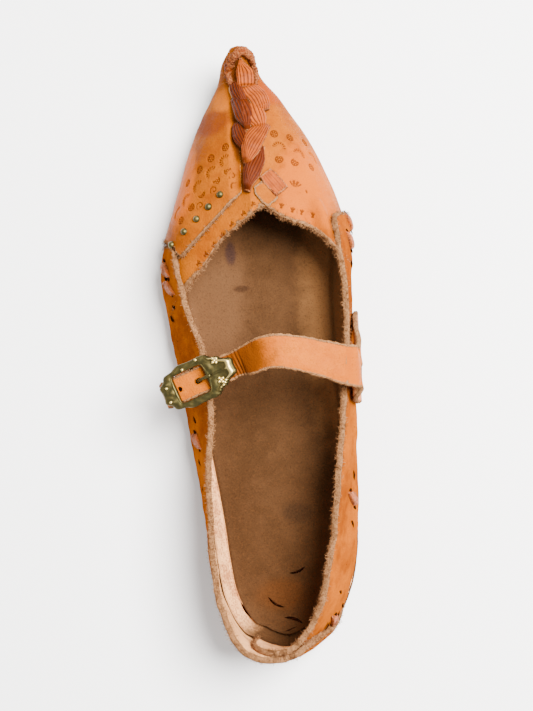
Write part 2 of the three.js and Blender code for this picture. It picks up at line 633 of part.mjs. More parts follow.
function buckleFrameSolid() {
  const plate = new THREE.ExtrudeGeometry(buckleOutline(), { depth: BUCKLE_PLATE, bevelEnabled: false });
  const window = boxAt(WINDOW_LENGTH, WINDOW_WIDTH, 2 * BUCKLE_PLATE, WINDOW_SHIFT, 0, 0);
  const postHeight = BUCKLE_PLATE / 2 - BAR_SEAT + BAR / 2;
  const posts = [OUTER, INNER].map((side) => {
    const w = (side * (WINDOW_WIDTH + POST)) / 2;
    return boxAt(BAR, POST, postHeight, WINDOW_SHIFT, w, BUCKLE_PLATE / 2 - postHeight / 2);
  });
  const bar = new THREE.CylinderGeometry(BAR / 2, BAR / 2, WINDOW_WIDTH + POST, 12);
  return placeInBuckle(plate.translate(0, 0, -BUCKLE_PLATE / 2))
    .subtract(window)
    .add(posts[0])
    .add(posts[1])
    .add(placeInBuckle(bar.translate(WINDOW_SHIFT, 0, BAR_SEAT)));
}

// Prong: a ring round the bar, then up through the strap and over to the plate's edge.
const PRONG_SIDES = 6;
const PRONG_STEPS = 26;
const PRONG_OPENS = [105, 350]; // where the ring begins and ends, in degrees round the bar
const PRONG_LEAN = 0.9; // how far the prong leans on its way up through the strap

// Points round the bar, in the buckle's frame.
function roundBar(from, to, count, radius) {
  return steps(from, to, count).map((degrees) => {
    const [u, n] = [Math.cos(radians(degrees)), Math.sin(radians(degrees))];
    return new THREE.Vector3(WINDOW_SHIFT + radius * u, 0, BAR_SEAT + radius * n);
  });
}

function prongRoute() {
  const edge = WINDOW_SHIFT + WINDOW_LENGTH / 2;
  const over = BUCKLE_PLATE / 2 + GAP + PRONG / 2;
  return [
    ...roundBar(...PRONG_OPENS, 8, PRONG_RING),
    new THREE.Vector3(PRONG_HOLE, 0, STRAP_SEAT),
    new THREE.Vector3(PRONG_HOLE + PRONG_LEAN, 0, STRAP_SEAT + STRAP / 2 + GAP + PRONG / 2),
    new THREE.Vector3(edge - 1, 0, over * 0.9),
    new THREE.Vector3(edge + PRONG_REACH, 0, over),
  ];
}

// A round rod along a path.
function rodGeometry(points, radius, sides, count) {
  const route = new THREE.CatmullRomCurve3(points, false, 'centripetal');
  const section = new THREE.Shape();
  for (let i = 0; i < sides; i += 1) {
    const angle = (2 * Math.PI * i) / sides;
    const [x, y] = [radius * Math.cos(angle), radius * Math.sin(angle)];
    if (i === 0) section.moveTo(x, y);
    else section.lineTo(x, y);
  }
  return new THREE.ExtrudeGeometry(section, { steps: count, extrudePath: route });
}

function prongSolid() {
  return placeInBuckle(rodGeometry(prongRoute(), PRONG / 2, PRONG_SIDES, PRONG_STEPS));
}

// Strap: from the inner wall over the instep, through the buckle and down outside the outer wall.
// across and along are shares of BALL_WIDTH and LENGTH, high of COLLAR_HEIGHT and width of STRAP_ROOT.
const STRAP_ROUTE = [
  // across, along, high, width
  [0.485, 0.471, 0.9, 1],
  [0.468, 0.473, 1.0, 1],
  [0.405, 0.477, 1.085, 0.95],
  [0.299, 0.489, 1.17, 0.86],
  [0.181, 0.5, 1.225, 0.82],
  [0.079, 0.505, 1.26, 0.8],
  [0.022, 0.503, 1.25, 0.79],
  [-0.032, 0.497, 1.2, 0.77],
].map(([across, along, high, width]) => ({ across, along, high, width }));
// Where the strap lies in the buckle and where its other holes are, as shares of BUCKLE_LENGTH.
const SEATED = [0.5, 0.32, 0.1, -0.1, -0.32, -0.45];
const HOLES = [0.62, -0.27];
// The strap's free end past the buckle: u and n as shares of BUCKLE_LENGTH, width as one of STRAP_END.
const TAIL = [
  [-0.55, -0.13, 0.95], [-0.595, -0.26, 0.9], [-0.595, -0.42, 0.75], [-0.58, -0.55, 0.3],
].map(([u, n, width]) => ({ u, n, width }));

const STRAIGHT = new THREE.Vector3(0, 1, 0);
const acrossBuckle = STRAIGHT.clone().applyQuaternion(buckleTurn);
const onRoute = (row) =>
  new THREE.Vector3(row.across * BALL_WIDTH, (row.along - 0.5) * LENGTH, row.high * COLLAR_HEIGHT);

function strapStops() {
  const route = STRAP_ROUTE.map((row) => ({
    at: onRoute(row),
    across: STRAIGHT,
    width: row.width * STRAP_ROOT,
  }));
  const seated = SEATED.map((u) => ({
    at: inBuckle(u * BUCKLE_LENGTH, 0, STRAP_SEAT),
    across: acrossBuckle,
    width: STRAP_END,
  }));
  const tail = TAIL.map(({ u, n, width }) => ({
    at: inBuckle(u * BUCKLE_LENGTH, 0, n * BUCKLE_LENGTH),
    across: acrossBuckle,
    width: width * STRAP_END,
  }));
  return [...route, ...seated, ...tail];
}

// One leg of the forked root: it leaves the strap at the fold and lies on the outside of the inner wall.
const LEG_SPREAD = { front: 0.545, rear: 0.408 }; // where the legs reach the wall, shares of LENGTH
const LEG_STOPS = [
  // level up the wall, share of the spread, distance off the wall
  [0.6, 0.62, 2.8], [0.54, 0.88, 1.5], [0.47, 1, 0.7], [0.4, 1, WIDE_GAP],
].map(([level, spread, off]) => ({ level, spread, off }));

function legSolid(side) {
  const [fold, over] = [STRAP_ROUTE[0], STRAP_ROUTE[2]].map(onRoute);
  const shift = (side * (STRAP_ROOT - LEG_WIDTH)) / 2;
  const y = ((side > 0 ? LEG_SPREAD.front : LEG_SPREAD.rear) - 0.5) * LENGTH;
  const onWall = LEG_STOPS.map(({ level, spread, off }) => {
    const p = sectionAt(swellLine, INNER, THREE.MathUtils.lerp(fold.y + shift, y, spread));
    const at = wallPoint(p, level, LEATHER - FUSE + off + STRAP / 2);
    return { at, across: alongWall(p), width: LEG_WIDTH };
  });
  const stops = [
    { at: over.setY(over.y + shift), across: STRAIGHT, width: LEG_WIDTH },
    { at: fold.setY(fold.y + shift), across: STRAIGHT, width: LEG_WIDTH },
    ...onWall,
  ];
  return stripSolid(stops, STRAP, 12);
}

function strapSolid() {
  const main = stripSolid(strapStops(), STRAP, 48);
  const slot = boxAt(HOLE_LENGTH, STRAP_HOLE, 4 * STRAP, PRONG_HOLE, 0, STRAP_SEAT);
  const holes = HOLES.map((u) => {
    const drill = new THREE.CylinderGeometry(STRAP_HOLE / 2, STRAP_HOLE / 2, 4 * STRAP, 10);
    return placeInBuckle(drill.rotateX(Math.PI / 2).translate(u * BUCKLE_LENGTH, 0, STRAP_SEAT));
  });
  const whole = main.add(legSolid(1)).add(legSolid(-1));
  return [slot, ...holes].reduce((solid, hole) => solid.subtract(hole), whole);
}

// Tab: hooked round the buckle's bar and laid down the outside of the outer wall.
const TAB_OPENS = [-40, 180]; // where the hook begins and ends, in degrees round the bar
const TAB_LEVELS = [0.52, 0.45, 0.38]; // up the wall

function buckleTabSolid() {
  const ringRadius = BAR / 2 + GAP + TAB / 2;
  const hook = roundBar(...TAB_OPENS, 7, ringRadius).map(({ x, y, z }) => inBuckle(x, y, z));
  const p = sectionAt(swellLine, OUTER, buckleMiddle.y);
  const seat = LEATHER - FUSE + WIDE_GAP + TAB / 2;
  const stops = [
    ...hook.map((at) => ({ at, across: acrossBuckle, width: TAB_WIDTH })),
    ...TAB_LEVELS.map((v) => ({ at: wallPoint(p, v, seat), across: alongWall(p), width: TAB_WIDTH })),
  ];
  const ringRoom = 2 * (ringRadius + TAB);
  const slot = boxAt(ringRoom, PRONG + 3 * GAP, ringRoom, WINDOW_SHIFT, 0, BAR_SEAT);
  return stripSolid(stops, TAB, 22).subtract(slot);
}

const group = new THREE.Group();
const materials = {
  sole: new THREE.MeshStandardMaterial({ color: 0x6b4226, roughness: 0.8 }),
  tan: new THREE.MeshStandardMaterial({ color: 0xc47b3c, roughness: 0.5 }),
  suede: new THREE.MeshStandardMaterial({ color: 0x8c5f3c, roughness: 0.9 }),
  strap: new THREE.MeshStandardMaterial({ color: 0xd99a62, roughness: 0.55 }),
  brass: new THREE.MeshStandardMaterial({ color: 0x6c6a3c, roughness: 0.4, metalness: 0.9 }),
};

function addMesh(parent, name, solid, material) {
  const mesh = new THREE.Mesh(geometryOf(solid), material);
  mesh.name = name;
  parent.add(mesh);
}

addMesh(group, 'outsole', outsoleSolid(), materials.sole);
addMesh(group, 'insole', insoleSolid(), materials.suede);
addMesh(group, 'upper', upperSolid(), materials.tan);
addMesh(group, 'tooled_overlay', overlaySolid(), materials.tan);
addMesh(group, 'toe_braid', braidSolid(), materials.tan);
addMesh(group, 'side_tab', sideTabSolid(), materials.tan);
for (let i = 0; i < STUD_COUNT; i += 1) addMesh(group, `stud_${i + 1}`, studSolid(i), materials.brass);
addMesh(group, 'strap', strapSolid(), materials.strap);
addMesh(group, 'buckle_tab', buckleTabSolid(), materials.strap);
addMesh(group, 'buckle_frame', buckleFrameSolid(), materials.brass);
addMesh(group, 'buckle_prong', prongSolid(), materials.brass);

export default group;
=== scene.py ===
import math

import bmesh
import bpy
import numpy as np
from mathutils import Matrix, Vector


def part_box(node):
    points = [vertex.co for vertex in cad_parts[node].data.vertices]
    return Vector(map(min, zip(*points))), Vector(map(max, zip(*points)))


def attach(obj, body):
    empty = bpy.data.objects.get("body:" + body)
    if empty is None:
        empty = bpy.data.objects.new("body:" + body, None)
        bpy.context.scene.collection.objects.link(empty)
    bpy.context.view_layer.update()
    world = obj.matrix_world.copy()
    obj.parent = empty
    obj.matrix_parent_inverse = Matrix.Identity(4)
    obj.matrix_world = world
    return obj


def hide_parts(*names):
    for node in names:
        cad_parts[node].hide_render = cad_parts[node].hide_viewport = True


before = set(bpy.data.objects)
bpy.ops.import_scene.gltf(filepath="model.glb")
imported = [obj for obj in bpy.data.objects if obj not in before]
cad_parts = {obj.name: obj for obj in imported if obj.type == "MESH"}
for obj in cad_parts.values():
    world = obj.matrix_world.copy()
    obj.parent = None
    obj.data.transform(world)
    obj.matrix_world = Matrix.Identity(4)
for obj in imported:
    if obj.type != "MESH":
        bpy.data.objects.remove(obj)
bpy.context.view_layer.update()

MM = 0.001

# Sizes of the shoe in millimetres, as the solids have them
LENGTH = 278
BALL_WIDTH = 91
COLLAR_HEIGHT = 46
RIDGE_HEIGHT = 46
SOLE = 4.5
TOE_SPRING = 15
WAIST_ARCH = 1.4
LEATHER = 2.6
TUCK = 2.4
SWELL_HEIGHT = 5
SOLE_MARGIN = 0.6
OVERLAY = 2.2
INSOLE = 2
RIM = 12
GAP = 0.3
WIDE_GAP = 0.5
FUSE = 0.8
STRAP = 2.2
STRAP_ROOT = 18
STRAP_END = 11.6
STRAP_HOLE = 2.4
LEG_WIDTH = 9
TAB = 1.4
TAB_WIDTH = 11
BUCKLE_LENGTH = 38
BUCKLE_WIDTH = 20.5
BUCKLE_PLATE = 2
WINDOW_LENGTH = 15.6
WINDOW_CLEARANCE = 0.6
BAR = 2
PRONG = 1.5
STUD = 3.4
STUD_HEIGHT = 1.3
BRAID_WIDTH = 14

# Sections from the heel to the nose, as shares of the sizes above. The outer side comes first.
SECTIONS = np.array([
    # along, outer, inner, outer top, inner top, shift, outer high, inner high, ridge, ridge high
    [0.007, -0.005, 0.005, 0.02, -0.02, 0.013, 1.0, 1.0, 0, 1],
    [0.02, 0.126, 0.126, 0.142, 0.072, 0.008, 1.0, 1.0, 0, 1],
    [0.05, 0.234, 0.24, 0.22, 0.146, 0.003, 0.99, 0.99, 0, 1],
    [0.1, 0.308, 0.324, 0.27, 0.22, 0, 0.975, 0.975, 0, 1],
    [0.16, 0.336, 0.369, 0.297, 0.262, 0, 0.955, 0.955, 0, 1],
    [0.235, 0.356, 0.385, 0.301, 0.297, 0, 0.935, 0.93, 0, 1],
    [0.315, 0.384, 0.396, 0.295, 0.33, 0, 0.91, 0.91, 0, 1],
    [0.4, 0.42, 0.408, 0.268, 0.369, 0, 0.87, 0.88, 0, 1],
    [0.5, 0.46, 0.414, 0.281, 0.404, 0, 0.835, 0.845, 0, 1],
    [0.6, 0.495, 0.422, 0.363, 0.416, 0, 0.78, 0.82, 0.005, 1],
    [0.66, 0.502, 0.442, 0.387, 0.395, 0, 0.72, 0.79, 0.005, 1],
    [0.71, 0.454, 0.432, 0.37, 0.365, 0, 0.68, 0.75, 0.005, 0.985],
    [0.76, 0.4, 0.396, 0.318, 0.314, 0, 0.65, 0.71, 0, 0.945],
    [0.806, 0.353, 0.345, 0.26, 0.262, 0, 0.63, 0.67, 0, 0.885],
    [0.85, 0.303, 0.284, 0.205, 0.205, 0, 0.6, 0.63, -0.003, 0.82],
    [0.89, 0.251, 0.215, 0.16, 0.145, 0.001, 0.57, 0.59, -0.012, 0.755],
    [0.925, 0.198, 0.146, 0.124, 0.088, 0.003, 0.56, 0.57, -0.024, 0.71],
    [0.955, 0.146, 0.072, 0.108, 0.056, 0.005, 0.6, 0.61, -0.026, 0.73],
    [0.974, 0.118, 0.046, 0.094, 0.046, 0.007, 0.68, 0.68, -0.022, 0.81],
    [0.986, 0.07, 0.018, 0.06, 0.022, 0.009, 0.76, 0.76, -0.018, 0.87],
])
NOSE = len(SECTIONS) - 1
SHOULDER = 2 / 3
NEAR = 0.02


def smooth(x, low, high):
    """0 below low, 1 above high and an even rise between them."""
    t = np.clip((np.asarray(x, float) - low) / (high - low), 0, 1)
    return t * t * (3 - 2 * t)


def blend(a, b, t):
    return a + (b - a) * t


def unit(vectors):
    return vectors / np.maximum(np.linalg.norm(vectors, axis=-1, keepdims=True), 1e-12)


# The surface of the upper: the same four lines and the same profiles as in the solids
def spline_span(p0, p1, p2, p3, w):
    """Centripetal Catmull-Rom curve from p1 to p2."""
    d0, d1, d2 = (np.sqrt(np.linalg.norm(b - a, axis=-1))[..., None]
                  for a, b in ((p0, p1), (p1, p2), (p2, p3)))
    d1 = np.where(d1 < 1e-4, 1, d1)
    d0 = np.where(d0 < 1e-4, d1, d0)
    d2 = np.where(d2 < 1e-4, d1, d2)
    leave = ((p1 - p0) / d0 - (p2 - p0) / (d0 + d1) + (p2 - p1) / d1) * d1
    arrive = ((p2 - p1) / d1 - (p3 - p1) / (d1 + d2) + (p3 - p2) / d2) * d1
    w = np.asarray(w)[..., None]
    return (p1 + leave * w + (3 * (p2 - p1) - 2 * leave - arrive) * w ** 2
            + (2 * (p1 - p2) + leave + arrive) * w ** 3)


def along_points(points, place):
    """A point of the curve through all points, at place counted in points."""
    points = np.asarray(points, float)
    padded = np.concatenate([[2 * points[0] - points[1]], points, [2 * points[-1] - points[-2]]])
    place = np.clip(place, 0, len(points) - 1)
    i = np.minimum(np.floor(place).astype(int), len(points) - 2)
    return spline_span(padded[i], padded[i + 1], padded[i + 2], padded[i + 3], place - i)


def sole_bottom(y):
    along = y / LENGTH + 0.5
    arch = smooth(along, 0.22, 0.35) * (1 - smooth(along, 0.35, 0.48))
    return WAIST_ARCH * arch + TOE_SPRING * np.maximum(0, (along - 0.8) / 0.2) ** 1.8


def foot_height(y):
    return sole_bottom(y) + SOLE + GAP


def section_points(side):
    """The widest line, the shoulder and the ridge at each section of one side."""
    along, outer, inner, outer_top, inner_top, shift, outer_high, inner_high, ridge, ridge_high = SECTIONS.T
    wide, top, high = (outer, outer_top, outer_high) if side < 0 else (inner, inner_top, inner_high)
    y = (along - 0.5) * LENGTH
    moved = y + shift * LENGTH
    return [np.stack(columns, axis=1) for columns in (
        (side * wide * BALL_WIDTH, y, foot_height(y) + SWELL_HEIGHT),
        (side * top * BALL_WIDTH, moved, high * COLLAR_HEIGHT),
        (ridge * BALL_WIDTH, moved, ridge_high * RIDGE_HEIGHT),
    )]


OUTER_LINES, INNER_LINES = section_points(-1), section_points(1)
SWELLS, SHOULDERS, RIDGES = (np.concatenate([o[:0:-1], i]) for o, i in zip(OUTER_LINES, INNER_LINES))


def line(points, p):
    return along_points(points, np.clip(p, -NOSE, NOSE) + NOSE)


def outward(p):
    along = line(SWELLS, p + 2 * NEAR) - line(SWELLS, p - 2 * NEAR)
    return unit(np.stack([along[..., 1], -along[..., 0], 0 * along[..., 0]], axis=-1))


def along_wall(p):
    return np.cross(outward(p), np.stack([0 * p, 0 * p, -np.sign(p)], axis=-1))


def foot_point(p):
    at = line(SWELLS, p) - TUCK * outward(p)
    at[..., 2] = foot_height(at[..., 1])
    return at


def profile(p, v, arch):
    foot, swell, shoulder = foot_point(p), line(SWELLS, p), line(SHOULDERS, p)
    last = line(RIDGES, p) if arch else shoulder + (shoulder - swell) / 2
    knots = np.stack([2 * foot - swell, foot, swell, shoulder, last, 2 * last - shoulder])
    i = np.clip(np.floor(3 * v).astype(int), 0, 2)
    spans = [np.take_along_axis(knots, (i + k)[None, ..., None], axis=0)[0] for k in range(4)]
    return spline_span(*spans, 3 * v - i)


def wall_normal(p, v, arch):
    up = profile(p, np.minimum(1, v + NEAR), arch) - profile(p, np.maximum(0, v - NEAR), arch)
    along = profile(p + NEAR, v, arch) - profile(p - NEAR, v, arch)
    normal = -np.cross(up, along)
    inward = (np.sum(normal * outward(p), axis=-1) < 0) & (v < 0.5)
    normal = np.where(inward[..., None], -normal, normal)
    normal[..., 2] = np.maximum(normal[..., 2], 0)
    return unit(normal)


def wall(p, v, grow=0.0, arch=False):
    """A point of the wall at p sections round the shoe and v up it, moved out by grow."""
    p, v, grow = np.broadcast_arrays(np.asarray(p, float), np.asarray(v, float), np.asarray(grow, float))
    at = profile(p, v, arch)
    normal = wall_normal(p, v, arch)
    if arch:
        other = unit(normal + wall_normal(-p, v, arch))
        normal = np.where((v > 1 - 1e-6)[..., None], other, normal)
    at = at + normal * grow[..., None]
    at[..., 2] = np.where(v == 0, foot_height(at[..., 1]), at[..., 2])
    return at


def place_on(points, side, y):
    """Where a line round the shoe passes y, in sections."""
    low, high = np.full(np.shape(y), 0.5), np.full(np.shape(y), float(NOSE))
    for _ in range(30):
        middle = (low + high) / 2
        under = line(points, side * middle)[..., 1] < y
        low, high = np.where(under, middle, low), np.where(under, high, middle)
    return side * (low + high) / 2


def on_vamp(x, y):
    """The place (p, v) of the vamp that lies over x, y."""
    x, y = np.asarray(x, float), np.asarray(y, float)
    ridge_x = line(RIDGES, place_on(RIDGES, 1, y))[..., 0]
    side = np.where(x < ridge_x, -1.0, 1.0)
    s = np.abs(np.where(side < 0, place_on(SHOULDERS, -1, y), place_on(SHOULDERS, 1, y)))
    v = np.full(x.shape, (SHOULDER + 1) / 2)
    for _ in range(8):
        at = profile(side * s, v, True)
        along_s = (profile(side * (s + 0.01), v, True) - at) / 0.01
        along_v = (at - profile(side * s, v - 0.01, True)) / 0.01
        miss_x, miss_y = x - at[..., 0], y - at[..., 1]
        area = along_s[..., 0] * along_v[..., 1] - along_s[..., 1] * along_v[..., 0]
        s = s + (miss_x * along_v[..., 1] - miss_y * along_v[..., 0]) / area
        v = np.clip(v + (along_s[..., 0] * miss_y - along_s[..., 1] * miss_x) / area, 0.02, 0.995)
    return side * s, v


# The photograph's camera, in millimetres: it looks straight down, rolled against the shoe's axis
PHOTO_EYE = np.array([61.7, -4.6, 650.0])
PHOTO_MIDDLE = (266, 355)
PHOTO_SCALE = 650 / 1383
PHOTO_ROLL = math.radians(4)
PHOTO_SHIFT = (66, -4.1)


def photo_ray(px, py):
    """The point of the floor behind a pixel of the photograph."""
    x = (px - PHOTO_MIDDLE[0]) * PHOTO_SCALE + PHOTO_SHIFT[0]
    y = -(py - PHOTO_MIDDLE[1]) * PHOTO_SCALE
    east = x * math.cos(PHOTO_ROLL) + y * math.sin(PHOTO_ROLL) + PHOTO_SHIFT[1]
    north = -x * math.sin(PHOTO_ROLL) + y * math.cos(PHOTO_ROLL)
    return np.stack([east, north, 0 * east], axis=-1)


def photo_pixel(points):
    """The pixels of the photograph where points in millimetres show."""
    share = PHOTO_EYE[2] / (PHOTO_EYE[2] - points[..., 2])
    floor = PHOTO_EYE[:2] + (points[..., :2] - PHOTO_EYE[:2]) * share[..., None]
    away = floor - np.array([PHOTO_SHIFT[1], 0])
    x = away[..., 0] * math.cos(PHOTO_ROLL) - away[..., 1] * math.sin(PHOTO_ROLL)
    y = away[..., 0] * math.sin(PHOTO_ROLL) + away[..., 1] * math.cos(PHOTO_ROLL)
    x = (x - PHOTO_SHIFT[0]) / PHOTO_SCALE
    return np.stack([x + PHOTO_MIDDLE[0], -y / PHOTO_SCALE + PHOTO_MIDDLE[1]], axis=-1)


def photo_on_vamp(pixels, grow=0.0):
    """The vamp's places p and v that show at pixels of the photograph."""
    floor = photo_ray(*np.asarray(pixels, float).T)
    height = np.full(len(floor), 35.0)
    for _ in range(5):
        at = floor + (PHOTO_EYE - floor) * height[:, None] / PHOTO_EYE[2]
        p, v = on_vamp(at[:, 0], at[:, 1])
        height = wall(p, v, grow, True)[:, 2]
    return p, v


# Meshes
def ripple(points, wavelength, seed):
    """An even, smooth unevenness between about -1 and 1 over points in millimetres."""
    draw = np.random.default_rng(seed)
    ways = unit(draw.normal(size=(7, 3))) * (2 * math.pi / wavelength) * draw.uniform(0.7, 1.4, (7, 1))
    phases = draw.uniform(0, 2 * math.pi, 7)
    return np.sin(points @ ways.T + phases).sum(axis=-1) / 3.2


def put(name, data):
    """A new object in the scene."""
    made = bpy.data.objects.new(name, data)
    bpy.context.scene.collection.objects.link(made)
    return made


def make_piece(name, points, faces, marks=None):
    """A smooth-shaded mesh object from points in millimetres, with named numbers at its points."""
    mesh = bpy.data.meshes.new(name)
    mesh.from_pydata(np.asarray(points, float) * MM, [], faces)
    for key, values in (marks or {}).items():
        mesh.attributes.new(key, "FLOAT", "POINT").data.foreach_set("value", np.asarray(values, np.float32))
    mesh.polygons.foreach_set("use_smooth", np.ones(len(mesh.polygons), bool))
    mesh.update()
    return put(name, mesh)


def mark_all(piece, **marks):
    """Each mark gets one value all over the piece."""
    for key, value in marks.items():
        layer = piece.data.attributes.get(key) or piece.data.attributes.new(key, "FLOAT", "POINT")
        layer.data.foreach_set("value", np.full(len(piece.data.vertices), value, np.float32))
    return piece


def grid_faces(index):
    return np.stack([index[:-1, :-1], index[:-1, 1:], index[1:, 1:], index[1:, :-1]], axis=-1).reshape(-1, 4)


def near_borders(face, widths):
    """1 on a face's start, end, left and right borders, falling to 0 at each border's width from it."""
    down = np.cumsum(np.linalg.norm(np.diff(face, axis=0, prepend=face[:1]), axis=-1), axis=0)
    across = np.cumsum(np.linalg.norm(np.diff(face, axis=1, prepend=face[:, :1]), axis=-1), axis=1)
    near = np.zeros(face.shape[:2])
    for distance, width in zip((down, down[-1] - down, across, across[:, -1:] - across), widths):
        if width > 0:
            near = np.maximum(near, 1 - distance / width)
    return near


def leaf(name, outer, inner, rings=3, bulge=0.3, fray=0.0, marks=None, seed=1, raw=(1.6, 1.6, 1.6, 1.6)):
    """A leaf of leather between two faces over the same grid, with its cut edge round the border.

    Its points carry edge, 1 on the cut edge, and flesh, 1 on the inner face. raw gives how far the rawness
    of the cut reaches onto the faces from the start, end, left and right borders, 0 where none shows."""
    rows, columns = outer.shape[:2]
    index = np.arange(rows * columns).reshape(rows, columns)
    border = np.concatenate([index[0], index[1:, -1], index[-1, -2::-1], index[-2:0:-1, 0]])
    i, j = np.unravel_index(border, index.shape)
    near = (np.clip(i, 1, rows - 2), np.clip(j, 1, columns - 2))
    out = unit(unit(outer[i, j] - outer[near]) + unit(inner[i, j] - inner[near]))
    draw = np.random.default_rng(seed)
    bites = 1.6 * fray * ripple(outer[i, j], 2.6, seed + 5)
    points = [outer.reshape(-1, 3), inner.reshape(-1, 3)]
    loops = [border]
    for k in range(1, rings + 1):
        t = k / (rings + 1)
        stand = bulge * math.sin(math.pi * t) + fray * draw.uniform(-1, 1, len(border)) + bites
        points.append(blend(outer[i, j], inner[i, j], t) + out * stand[:, None])
        loops.append(2 * index.size + (k - 1) * len(border) + np.arange(len(border)))
    loops.append(border + index.size)
    strips = np.stack(loops)
    strips = np.concatenate([strips, strips[:, :1]], axis=1)
    side = np.stack([strips[:-1, 1:], strips[:-1, :-1], strips[1:, :-1], strips[1:, 1:]], axis=-1)
    faces = np.concatenate([grid_faces(index), grid_faces(index)[:, ::-1] + index.size, side.reshape(-1, 4)])
    a, b = rows // 2, columns // 2
    turn = np.cross(outer[a, b + 1] - outer[a, b], outer[a + 1, b + 1] - outer[a, b + 1])
    if np.dot(turn, outer[a, b] - inner[a, b]) < 0:
        faces = faces[:, ::-1]
    side_of = np.repeat([0, 3, 1, 2], [columns, rows - 1, columns - 1, rows - 2])
    is_raw = np.array(raw)[side_of] > 0
    count = rings * len(border)
    all_marks = {
        "edge": np.concatenate([0.85 * near_borders(f, raw).ravel() for f in (outer, inner)]
                               + [np.tile(is_raw.astype(float), rings)]),
        "flesh": np.concatenate([np.zeros(index.size), np.ones(index.size), np.full(count, 0.5)]),
    }
    for key, values in (marks or {}).items():
        all_marks[key] = np.concatenate([values.ravel(), np.zeros(index.size + count)])
    return make_piece(name, np.concatenate(points), faces, all_marks)


def join(name, pieces):
    """The pieces as one object."""
    mesh = bmesh.new()
    for piece in pieces:
        mesh.from_mesh(piece.data)
    whole = bpy.data.meshes.new(name)
    mesh.to_mesh(whole)
    mesh.free()
    for slot in pieces[0].data.materials:
        whole.materials.append(slot)
    for piece in pieces:
        bpy.data.objects.remove(piece)
    return put(name, whole)


# Even spacing round the shoe
PLACES = np.linspace(-NOSE, NOSE, 4001)
ARC = np.concatenate([[0], np.cumsum(np.linalg.norm(np.diff(line(SWELLS, PLACES), axis=0), axis=1))])


def arc_at(p):
    """How far along the wall a place lies, in millimetres."""
    return np.interp(p, PLACES, ARC)


def place_at(arc):
    return np.interp(arc, ARC, PLACES)


def spread_places(start, end, count):
    """Places from start to end, evenly spaced along the wall, one row for each step."""
    return place_at(blend(arc_at(start), arc_at(end), np.linspace(0, 1, count)[:, None]))


# The quarter strips
OUTER_STRIP_FRONT = 10.6
INNER_STRIP_FRONT = 11.25
OUTER_STRIP_END = 1.5
OUTER_STRIP_SLANT = 1.3
INNER_STRIP_END = 1.3
INNER_STRIP_STEP = 1.3
FLARE = 2.2
VAMP_START = 8.3
STRIP_LEVELS = np.concatenate([np.linspace(0, 1 / 3, 7), np.linspace(1 / 3, SHOULDER, 36)[1:]])
STRIP_ROWS = 400


def inner_strip_seat(p):
    return (LEATHER - FUSE) * np.where(p > 0, smooth(p, 3, 5.5), 0) - LEATHER


def rounded_front(front, v):
    return front - 3.3 * np.abs(v / SHOULDER - 0.55) ** 3


def flare(p, v, front, most):
    return most * smooth(np.abs(p), front - 2.2, front) * (v / SHOULDER) ** 2


def strip_leaf(name, start, end, seat, seed):
    """A strip of the quarter: it is a little uneven, and its top edge wavers."""
    levels = STRIP_LEVELS
    places = spread_places(start(levels), end(levels), STRIP_ROWS)
    along = arc_at(places[:, -1])
    waver = 0.012 * ripple(np.stack([along, 0 * along, 0 * along], axis=-1), 9, seed)
    v = np.broadcast_to(levels, places.shape) * (1 + waver[:, None] * smooth(levels, 0.4, SHOULDER))
    low = wall(places, v, seat(places, v))
    high = wall(places, v, seat(places, v) + LEATHER)
    way = unit(high - low)
    lumps = 0.32 * ripple(high, 26, seed + 1) + 0.14 * ripple(high, 8, seed + 2)
    lumps = lumps * smooth(v, 0, 0.3)
    low, high = low + way * lumps[..., None], high + way * lumps[..., None]
    return leaf(name, high, low, fray=0.26, seed=seed, raw=(2, 2, 0, 1.6))


def make_outer_strip():
    return strip_leaf(
        "outer_quarter",
        lambda v: -rounded_front(OUTER_STRIP_FRONT, v),
        lambda v: OUTER_STRIP_END + OUTER_STRIP_SLANT * (1 - v / SHOULDER),
        lambda p, v: flare(p, v, OUTER_STRIP_FRONT, FLARE / 2) - FUSE,
        11,
    )


def make_inner_strip():
    def seat(p, v):
        clear = INNER_STRIP_STEP * (1 - smooth(p, 1.8, 3.4)) * smooth(v, 0.3, SHOULDER)
        return inner_strip_seat(p) + flare(p, v, INNER_STRIP_FRONT, FLARE) - clear

    return strip_leaf(
        "inner_quarter",
        lambda v: rounded_front(INNER_STRIP_FRONT, v),
        lambda v: -INNER_STRIP_END + 1.2 * smooth(v, 0.5, SHOULDER) ** 3,
        seat,
        21,
    )


# The vamp and the tooled overlay. Edges in plan are shares of BALL_WIDTH and LENGTH.
THROAT = np.array([
    [-0.62, 0.54], [-0.478, 0.575], [-0.364, 0.618], [-0.278, 0.645], [-0.176, 0.687], [-0.107, 0.704],
    [-0.015, 0.724], [0.062, 0.736], [0.14, 0.719], [0.209, 0.708], [0.301, 0.697], [0.353, 0.675],
    [0.398, 0.658], [0.62, 0.6],
])
OVERLAY_EDGE = np.array([[-0.62, 0.712], [-0.424, 0.686], [-0.371, 0.668], [-0.03, 0.765], [0.3, 0.859]])
HOLLOW_END = 16.9
NOSE_ROWS = 8
NOSE_REACH = 2.6
HOLLOW_REACH = 1.5
OVERLAY_FRONT = 16.6
HALF_LEVELS = np.concatenate([
    np.linspace(0, 1 / 3, 6), np.linspace(1 / 3, SHOULDER, 36)[1:], np.linspace(SHOULDER, 1, 52)[1:],
])


def edge_line(table, rounded):
    """The edge's y over x, in millimetres, straight between the table's points or curved through them."""
    if rounded:
        curve = along_points(np.column_stack([table, 0 * table[:, 0]]), np.linspace(0, len(table) - 1, 400))
    else:
        curve = table
    return lambda x: (np.interp(x / BALL_WIDTH, curve[:, 0], curve[:, 1]) - 0.5) * LENGTH


